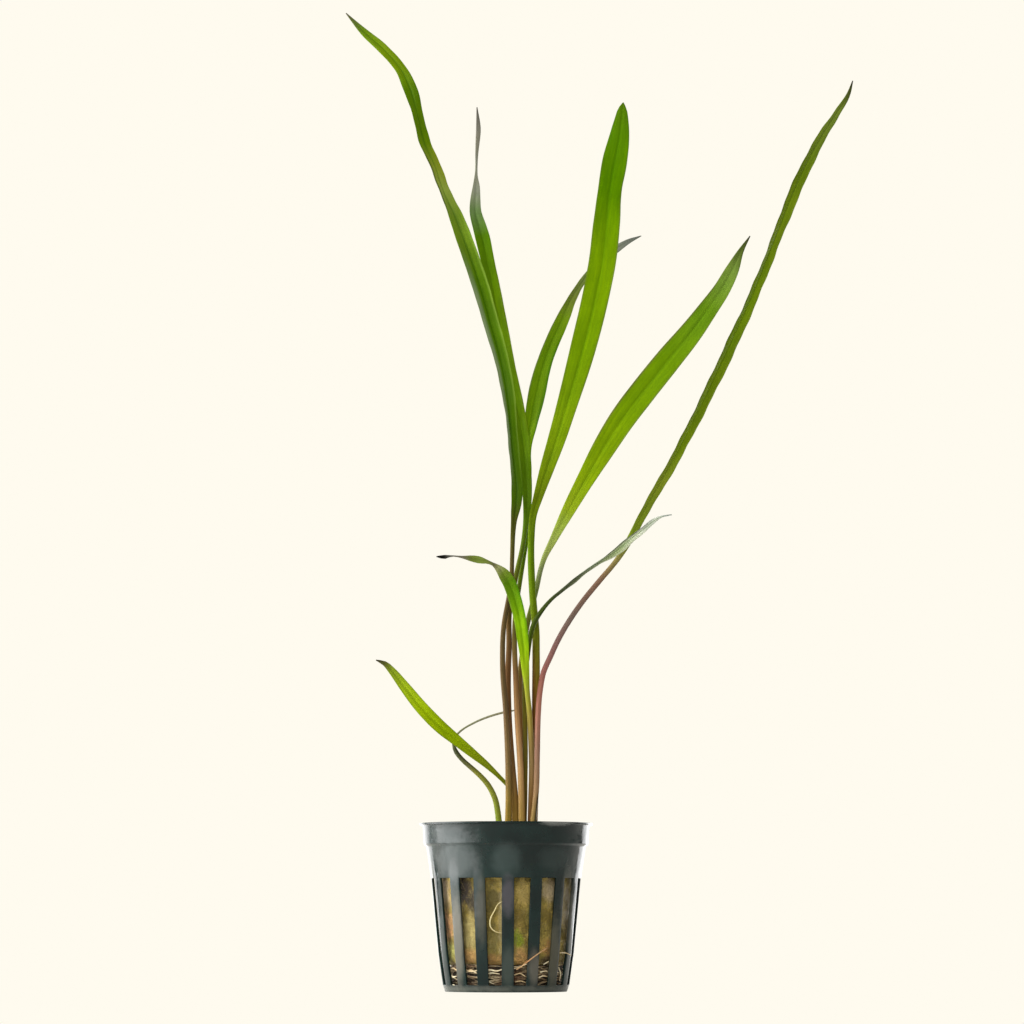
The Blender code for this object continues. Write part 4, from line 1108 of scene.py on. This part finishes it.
def smooth_through(points, spacing):
    """Rows of values on a smooth curve through the given rows, evenly spaced along their x, y, z.

    The given rows' places along the curve come with them.
    """
    points = np.array(points, dtype=float)
    steps, marks = measured(points[:, :3])
    slopes = np.gradient(points, marks, axis=0)
    count = max(4, int(round(marks[-1] / spacing)))
    rows = []
    for mark in np.linspace(0.0, marks[-1], count + 1):
        span = min(int(np.searchsorted(marks, mark, side="right")) - 1, len(steps) - 1)
        length = steps[span]
        t = (mark - marks[span]) / length
        rows.append(
            (2 * t**3 - 3 * t**2 + 1) * points[span]
            + (t**3 - 2 * t**2 + t) * length * slopes[span]
            + (3 * t**2 - 2 * t**3) * points[span + 1]
            + (t**3 - t**2) * length * slopes[span + 1]
        )
    return np.array(rows), marks


def leaf_rows(leaf):
    """The leaf's given points as rows of x, y, z, width, thickness, roll and fold, stem first."""
    stem = np.array(leaf["stem"])
    foot_width, top_width = leaf["stem_widths"]
    _, marks = measured(stem)
    rows = []
    for point, share in zip(stem, marks / marks[-1]):
        width = foot_width + (top_width - foot_width) * share
        rows.append((*point, width, width, 0.0, 0.0))
    gone = 0.0
    last = stem[-1]
    for x, y, z, width, roll, fold in leaf["blade"]:
        gone += float(np.linalg.norm(np.array((x, y, z)) - last))
        last = np.array((x, y, z))
        thinned = min(1.0, gone / THINNING_LENGTH)
        thickness = min(width, top_width + (BLADE_THICKNESS - top_width) * thinned)
        rows.append((x, y, z, width, max(thickness, TIP_WIDTH), roll, fold))
    return rows


def ring_places():
    """The points of a leaf's cross-section: how far across from -1 to 1, and -1 front, 1 back or 0 margin."""
    half = list(HALF_ACROSS)
    across = [-value for value in reversed(half)] + [0.0] + half
    front = [(value, -1) for value in across]
    back = [(value, 1) for value in reversed(across)]
    return [(-1.0, 0), *front, (1.0, 0), *back]


def leaf_mesh(name, leaf, seed):
    """One leaf from its foot to its tip: a round stem that flattens into a blade with a midrib."""
    rows, marks = smooth_through(leaf_rows(leaf), LEAF_SPACING)
    random = np.random.default_rng(seed)
    left_phase, right_phase, short_phase = random.uniform(0.0, 2.0 * math.pi, 3)
    places = ring_places()
    builder = bmesh.new()
    uv_layer = builder.loops.layers.uv.new("leaf")
    rings = []
    for index, (x, y, z, width, thickness, roll, fold) in enumerate(rows):
        ahead = Vector(rows[min(index + 1, len(rows) - 1)][:3]) - Vector(rows[max(index - 1, 0)][:3])
        along = Vector((0.0, 0.0, 1.0)) if index == 0 else ahead.normalized()
        side = Vector((0.0, 1.0, 0.0)).cross(along).normalized()
        side = Matrix.Rotation(math.radians(roll), 3, along) @ side
        back = along.cross(side)
        width = max(width, TIP_WIDTH)
        thickness = max(thickness, TIP_WIDTH)
        flatness = min(1.0, max(0.0, (width / thickness - ROUND_UNTIL) / FLAT_RANGE))
        thickness += (min(thickness, FINE_THICKNESS) - thickness) * flatness
        bend = math.radians(fold)
        run = LEAF_SPACING * index
        ring = []
        for share, face in places:
            across = 0.5 * width * share
            lift = 0.5 * thickness * math.sqrt(max(0.0, 1.0 - share * share)) * face
            lift += abs(across) * math.sin(bend)
            if face in MIDRIB_SHAPE:
                rise, half_width = MIDRIB_SHAPE[face]
                lift += rise * flatness * math.exp(-((across / half_width) ** 2))
            phase = left_phase if share < 0.0 else right_phase
            short_wave = math.sin(SHORT_WAVE_PACE * run + 2.0 * phase + short_phase)
            wave = math.sin(LONG_WAVE_PACE * run + phase) + SHORT_WAVE_SHARE * short_wave
            lift += WAVE_HEIGHT * flatness * share * share * wave
            place = Vector((x, y, z)) + side * (across * math.cos(bend)) + back * lift
            ring.append(builder.verts.new(place * MM))
        rings.append(ring)
    count = len(places)
    shares = [(share + 1.0) / 2.0 for share, face in places]
    for level in range(len(rings) - 1):
        for corner in range(count):
            after = (corner + 1) % count
            quad = [(level, corner), (level, after), (level + 1, after), (level + 1, corner)]
            made = builder.faces.new([rings[row][column] for row, column in quad])
            for loop, (row, column) in zip(made.loops, quad):
                loop[uv_layer].uv = (shares[column], row / (len(rings) - 1))
    for end, level in ((rings[0], 0.0), (rings[-1], 1.0)):
        cap = builder.faces.new(end)
        for loop, share in zip(cap.loops, shares):
            loop[uv_layer].uv = (share, level)
    return mesh_from(name, builder), marks


def make_leaves():
    """Each leaf with its stem, in its own colours."""
    for seed, (name, leaf) in enumerate(LEAVES.items()):
        mesh, marks = leaf_mesh(name + "_grown", leaf, seed)
        looks = LEAF_LOOKS[name]
        widest = max(row[3] for row in leaf["blade"])
        material = leaf_material(name + "_green", looks, marks, widest)
        keep(name + "_grown", mesh, material, looks["slot"], name)


def pot_levels():
    """The pot's section from the hub up: outer radius and z, inner radius and z, rib share, open above.

    The floor is open in only one of the wedge's two pitches.
    """
    floor_share = SLOT_LEVELS[0][2]
    top_share = SLOT_LEVELS[-1][2]
    levels = [
        (HUB_RADIUS, 0.0, HUB_RADIUS, FLOOR, floor_share, False),
        (FLOOR_SLOT_START, 0.0, FLOOR_SLOT_START, FLOOR, floor_share, "floor"),
        (FLOOR_SLOT_END, 0.0, FLOOR_SLOT_END, FLOOR, floor_share, False),
        (BASE_RADIUS, 0.0, BASE_RADIUS - 0.5 * WALL, FLOOR, floor_share, False),
    ]
    for z, radius, share in SLOT_LEVELS:
        levels.append((radius, z, radius - WALL, z, share, z < SLOT_LEVELS[-1][0]))
    for radius, z in ((BAND_TOP_RADIUS, BAND_TOP_Z), (COLLAR_FOOT_RADIUS, COLLAR_FOOT_Z)):
        levels.append((radius, z, radius - WALL, z + 0.5 * WALL, top_share, False))
    lip_foot_z = POT_HEIGHT - LIP_THICKNESS
    levels.append((COLLAR_TOP_RADIUS, lip_foot_z, COLLAR_TOP_RADIUS - WALL, POT_HEIGHT, top_share, False))
    return levels


def wedge_column_angle(column, share):
    """The angle of one of the wedge's upright lines: half a rib, a slot, a rib, a slot and half a rib."""
    pitch = 2.0 * math.pi / RIBS
    half_rib = RIB_COLUMNS // 2
    pitch_columns = RIB_COLUMNS + SLOT_COLUMNS
    turns, place = divmod(column, pitch_columns)
    if place <= half_rib:
        offset = 0.5 * share * place / half_rib
    elif place <= half_rib + SLOT_COLUMNS:
        offset = 0.5 * share + (1.0 - share) * (place - half_rib) / SLOT_COLUMNS
    else:
        offset = 1.0 - 0.5 * share * (pitch_columns - place) / half_rib
    return -0.5 * math.pi + RIB_TURN + pitch * (turns + offset)


def pot_wedge():
    """One wedge of the pot, two slots wide, open where the next wedge joins it."""
    builder = bmesh.new()
    pitch_columns = RIB_COLUMNS + SLOT_COLUMNS
    columns = WEDGE_PITCHES * pitch_columns
    half_rib = RIB_COLUMNS // 2
    levels = pot_levels()

    def arc(radius, z, share):
        angles = [wedge_column_angle(column, share) for column in range(columns + 1)]
        return [builder.verts.new((radius * math.cos(a), radius * math.sin(a), z)) for a in angles]

    outer = [arc(level[0], level[1], level[4]) for level in levels]
    inner = [arc(level[2], level[3], level[4]) for level in levels]

    def is_open(level, column):
        if not 0 <= column < columns or not 0 <= level < len(levels):
            return False
        turns, place = divmod(column, pitch_columns)
        if not half_rib <= place < half_rib + SLOT_COLUMNS:
            return False
        state = levels[level][5]
        return turns == 1 if state == "floor" else bool(state)

    def bridge(first, second, start, end):
        builder.faces.new((first[start], first[end], second[end], second[start]))

    last = len(levels) - 1
    for level in range(last):
        for column in range(columns):
            if is_open(level, column):
                continue
            for skin in (outer, inner):
                bridge(skin[level], skin[level + 1], column, column + 1)
            for edge, neighbour in ((column, column - 1), (column + 1, column + 1)):
                if is_open(level, neighbour):
                    corners = (outer[level], outer[level + 1], inner[level + 1], inner[level])
                    builder.faces.new([corner[edge] for corner in corners])
            if is_open(level - 1, column):
                bridge(outer[level], inner[level], column, column + 1)
            if is_open(level + 1, column):
                bridge(outer[level + 1], inner[level + 1], column, column + 1)
    share = SLOT_LEVELS[-1][2]
    lip = [
        outer[last],
        arc(LIP_RADIUS, POT_HEIGHT - LIP_THICKNESS, share),
        arc(LIP_RADIUS, POT_HEIGHT, share),
        inner[last],
    ]
    for below, above in zip(lip, lip[1:]):
        for column in range(columns):
            bridge(below, above, column, column + 1)
    for skin, z in ((outer, 0.0), (inner, FLOOR)):
        middle = builder.verts.new((0.0, 0.0, z))
        for column in range(columns):
            builder.faces.new((middle, skin[0][column], skin[0][column + 1]))
    unused = [point for point in builder.verts if not point.link_faces]
    bmesh.ops.delete(builder, geom=unused, context="VERTS")
    return mesh_from("pot_wedge", builder)


def make_pot():
    """The pot as one moulding, with soft edges and a wall that wavers a little inwards."""
    material = pot_material()
    mesh = grow(pot_wedge(), wedge_tree(), {"Material": material})
    builder = bmesh.new()
    builder.from_mesh(mesh)
    shared = [edge for edge in builder.edges if edge.is_manifold]
    sharp = [edge for edge in shared if edge.calc_face_angle() > POT_SHARP_ANGLE]
    settings = {"segments": POT_EDGE_STEPS, "profile": 0.5, "affect": "EDGES", "clamp_overlap": True}
    bmesh.ops.bevel(builder, geom=sharp, offset=POT_EDGE, **settings)
    for point in builder.verts:
        drift = noise.noise(point.co * POT_WAVER_SCALE)
        outward = Vector((point.co.x, point.co.y, 0.0)).normalized()
        if POT_EDGE < point.co.z < COLLAR_FOOT_Z:
            point.co -= outward * POT_WAVER * abs(drift)
    pot = mesh_from("net_pot_moulded", builder, sharp_angle=45.0)
    keep("net_pot_moulded", pot, material, "pot_plastic", "net_pot")


def lumps(place, scale):
    """Noise that makes a surface uneven at every size."""
    return noise.fractal(place * scale, LUMP_FALL, LUMP_FINER, LUMP_LAYERS)


def bridge_rings(builder, first, second):
    """A closed band of faces between two rings of as many points."""
    count = len(first)
    for column in range(count):
        after = (column + 1) % count
        builder.faces.new((first[column], first[after], second[after], second[column]))


def lumpy_turned(name, profile, columns, row, lump, scale):
    """A closed solid of revolution whose surface is pushed in and out by noise."""
    corners = np.array(profile)
    _, marks = measured(corners)
    count = int(round(marks[-1] / row))
    along = np.linspace(0.0, marks[-1], count)
    heights = np.interp(along, marks, corners[:, 0])
    radii = np.interp(along, marks, corners[:, 1])
    builder = bmesh.new()
    rings = []
    for z, radius in zip(heights, radii):
        ring = []
        for column in range(columns):
            angle = 2.0 * math.pi * column / columns
            place = Vector((radius * math.cos(angle), radius * math.sin(angle), z))
            outward = Vector((place.x, place.y, 0.0)).normalized()
            ring.append(builder.verts.new(place + outward * lump * lumps(place, scale)))
        rings.append(ring)
    for below, above in zip(rings, rings[1:]):
        bridge_rings(builder, below, above)
    for ring, z in ((rings[0], heights[0]), (rings[-1], heights[-1])):
        cap = [ring]
        for share in CAP_RINGS:
            inner = []
            for point in ring:
                place = Vector((point.co.x * share, point.co.y * share, z))
                place.z -= CAP_LUMP * lump * abs(lumps(place, scale))
                inner.append(builder.verts.new(place))
            cap.append(inner)
        for outer, inner in zip(cap, cap[1:]):
            bridge_rings(builder, outer, inner)
        middle = builder.verts.new((0.0, 0.0, z - CAP_DIP * lump))
        for column in range(columns):
            builder.faces.new((cap[-1][column], cap[-1][(column + 1) % columns], middle))
    return mesh_from(name, builder)


def lines_mesh(name, routes):
    """A mesh of edges alone, one line for each route of x, y, z and thickness rows in millimetres."""
    points = []
    edges = []
    thicknesses = []
    for route in routes:
        start = len(points)
        points += [tuple(value * MM for value in row[:3]) for row in route]
        thicknesses += [row[3] * MM for row in route]
        edges += [(start + step, start + step + 1) for step in range(len(route) - 1)]
    mesh = bpy.data.meshes.new(name)
    mesh.from_pydata(points, edges, [])
    attribute = mesh.attributes.new("thickness", "FLOAT", "POINT")
    attribute.data.foreach_set("value", np.array(thicknesses, dtype=np.float32))
    return mesh


def make_wool():
    """The wool plug and the loose fibres on it."""
    wool = lumpy_turned("wool_plug_felted", WOOL_PROFILE, WOOL_COLUMNS, WOOL_ROW, WOOL_LUMP, WOOL_LUMP_SCALE)
    lines = lines_mesh("wool_fibre_line", [[(*point, FIBRE_THICKNESS) for point in FIBRE_BEND]])
    fibre_mesh = grow(lines, strands, {"Sides": 3})
    fibre = bpy.data.objects.new("wool_fibre_shape", fibre_mesh)
    fibres = grow(wool, fibre_tree(fibre), {"Material": fibre_material()})
    keep("wool_plug_felted", wool, wool_material(), "mineral_wool", "wool_plug")
    keep("wool_fibres_loose", fibres, None, "mineral_wool")


def tangle_strands():
    """Seeded roots that wander round the pot's foot, close under its wall."""
    random = np.random.default_rng(TANGLE_SEED)
    made = []
    for _ in range(TANGLE_ROOTS):
        angle = random.uniform(0.0, 2.0 * math.pi)
        z = random.uniform(TANGLE_LOW_Z, TANGLE_HIGH_Z)
        climb = random.normal(0.0, TANGLE_FIRST_CLIMB)
        way = random.choice((-1.0, 1.0))
        thickness = random.choice(TANGLE_THICKNESSES, p=TANGLE_THICKNESS_ODDS)
        depth = random.uniform(*TANGLE_DEPTHS)
        strand = []
        count = int(random.uniform(*TANGLE_STEP_COUNTS))
        for step in range(count):
            taper = 1.0 - TANGLE_TAPER * step / count
            sway = TANGLE_SWAY * math.sin(TANGLE_SWAY_PACE * step + angle)
            radius = TANGLE_RADIUS + depth + TANGLE_FLARE * (z - TANGLE_LOW_Z) + sway
            strand.append((radius * math.cos(angle), radius * math.sin(angle), z, thickness * taper))
            angle += way * TANGLE_STEP * math.cos(climb) / radius
            z = min(TANGLE_HIGH_Z, max(TANGLE_LOW_Z, z + TANGLE_STEP * math.sin(climb)))
            climb = TANGLE_CLIMB_LASTS * climb + random.normal(0.0, TANGLE_CLIMB_CHANGE)
        made.append(strand)
    return made


def tapered(route, thicknesses):
    """A root's smooth route with its thickness at the start, the middle and the end."""
    rows, _ = smooth_through(route, ROOT_SPACING)
    shares = np.linspace(0.0, 1.0, len(rows))
    sizes = np.interp(shares, (0.0, 0.5, 1.0), thicknesses)
    return [(*row[:3], size) for row, size in zip(rows, sizes)]


def grown_strands(routes, sides, skin):
    """Strands along routes of x, y, z and thickness, with a root skin."""
    lines = lines_mesh(skin + "_lines", routes)
    return grow(lines, strands, {"Sides": sides, "Material": root_material(skin)})


def make_roots():
    """The two stray roots, the tangle at the pot's foot, its front roots, and a bed in its middle whose dark
    brown is painted shade between the roots.
    """
    for name, route in STRAY_ROOTS.items():
        mesh = grown_strands([tapered(route, STRAY_THICKNESS[name])], sides=10, skin=STRAY_SKIN[name])
        keep(name + "_strand", mesh, None, "root_skin", name)
    mesh = grown_strands(tangle_strands(), sides=5, skin="root_tangle_skin")
    keep("root_tangle_strands", mesh, None, "root_tangle", "root_mat")
    routes = [tapered(route, (size, size, FRONT_ROOT_TIP * size)) for size, route in FRONT_ROOTS]
    keep("root_tangle_front", grown_strands(routes, sides=8, skin="root_cream"), None, "root_tangle")
    profile = [
        (BED_FOOT_Z * MM, BED_FOOT_SHARE * BED_RADIUS * MM),
        (BED_FOOT_Z * MM + BED_FOOT_HEIGHT * MM, BED_RADIUS * MM),
        (BED_TOP_Z * MM, BED_RADIUS * MM),
    ]
    # The bed's dark colour is painted shade in the gaps between the roots.
    bed = lumpy_turned("root_bed_peat", profile, BED_COLUMNS, BED_ROW * MM, BED_LUMP * MM, BED_LUMP_SCALE)
    keep("root_bed_peat", bed, bark_and_bed_shade_material("peat_dark", BED_SHADE_TONES), "root_tangle")


def make_crown():
    """The rhizome's knob, scarred and lumpy, in the wool's pocket."""
    profile = [(rise * CROWN_DEPTH * MM, share * CROWN_HALF_DEPTH * MM) for rise, share in CROWN_OUTLINE]
    fineness = (CROWN_COLUMNS, CROWN_ROW * MM, CROWN_LUMP * MM, CROWN_LUMP_SCALE)
    mesh = lumpy_turned("crown_rhizome", profile, *fineness)
    foot = (CROWN_TOP_Z - CROWN_DEPTH) * MM
    place = Matrix.Translation((CROWN_CENTRE[0] * MM, CROWN_CENTRE[1] * MM, foot))
    mesh.transform(place @ Matrix.Diagonal((CROWN_HALF_LENGTH / CROWN_HALF_DEPTH, 1.0, 1.0, 1.0)))
    keep("crown_rhizome", mesh, bark_and_bed_shade_material("rhizome_bark", BARK_TONES), "rhizome", "crown")


def make_camera():
    """A long lens, level with the pot, that looks a little upwards."""
    data = bpy.data.cameras.new("camera")
    data.sensor_width = SENSOR_WIDTH
    data.lens = SENSOR_WIDTH * FOCAL_PIXELS / FRAME_PIXELS
    data.clip_start = CAMERA_CLIP
    camera = new_object("camera", data)
    camera.location = CAMERA_PLACE
    camera.rotation_euler = (0.5 * math.pi + CAMERA_RISE, 0.0, CAMERA_TURN)
    bpy.context.scene.camera = camera


def add_light(name, place, target, size, power):
    """A rectangular soft light that faces its target."""
    data = bpy.data.lights.new(name, "AREA")
    data.shape = "RECTANGLE"
    data.size, data.size_y = size
    data.energy = power
    light = new_object(name, data)
    light.location = place
    light.rotation_euler = (Vector(target) - Vector(place)).to_track_quat("-Z", "Y").to_euler()
    light.visible_camera = False


def for_camera(steps, others, camera, output):
    """Shows the camera one shader and everything else another."""
    seen = steps.add("ShaderNodeLightPath").outputs["Is Camera Ray"]
    both = steps.add("ShaderNodeMixShader", {0: seen, 1: others.outputs[0], 2: camera.outputs[0]})
    steps.feed(steps.tree.nodes[output].inputs[0], both.outputs[0])


def make_stage():
    """A plain pale floor and sky, soft light from both sides and the front, and low cards by the pot."""
    cream = tint(STUDIO_CREAM)
    world = bpy.data.worlds.new("studio")
    world.use_nodes = True
    steps = Steps(world.node_tree)
    plain = world.node_tree.nodes["Background"]
    plain.inputs["Color"].default_value = cream
    dim = steps.add("ShaderNodeBackground", {"Color": SKY_COLOUR, "Strength": SKY_STRENGTH})
    for_camera(steps, dim, plain, "World Output")
    bpy.context.scene.world = world

    material, steps, shader = new_material("floor_pale")
    place = {0: object_place(steps)}
    apart = steps.add("ShaderNodeVectorMath", place, operation="LENGTH").outputs["Value"]
    beyond = steps.between(apart, CARD_REACH, CARD_FADE * CARD_REACH)
    steps.feed(shader.inputs["Base Color"], steps.tones(beyond, FLOOR_TONES))
    shader.inputs["Roughness"].default_value = 0.9
    shader.inputs["Specular IOR Level"].default_value = 0.0
    glow = steps.add("ShaderNodeEmission", {"Color": cream, "Strength": 1.0})
    for_camera(steps, shader, glow, "Material Output")
    builder = bmesh.new()
    bmesh.ops.create_grid(builder, x_segments=1, y_segments=1, size=FLOOR_REACH)
    floor = new_object("floor", mesh_from("floor", builder))
    floor.data.materials.append(material)

    for name, light in LIGHTS.items():
        add_light(name, *light)


strands = strand_tree()
make_camera()
make_stage()
make_pot()
make_wool()
make_roots()
make_crown()
make_leaves()
bpy.context.scene.view_settings.view_transform = "Standard"
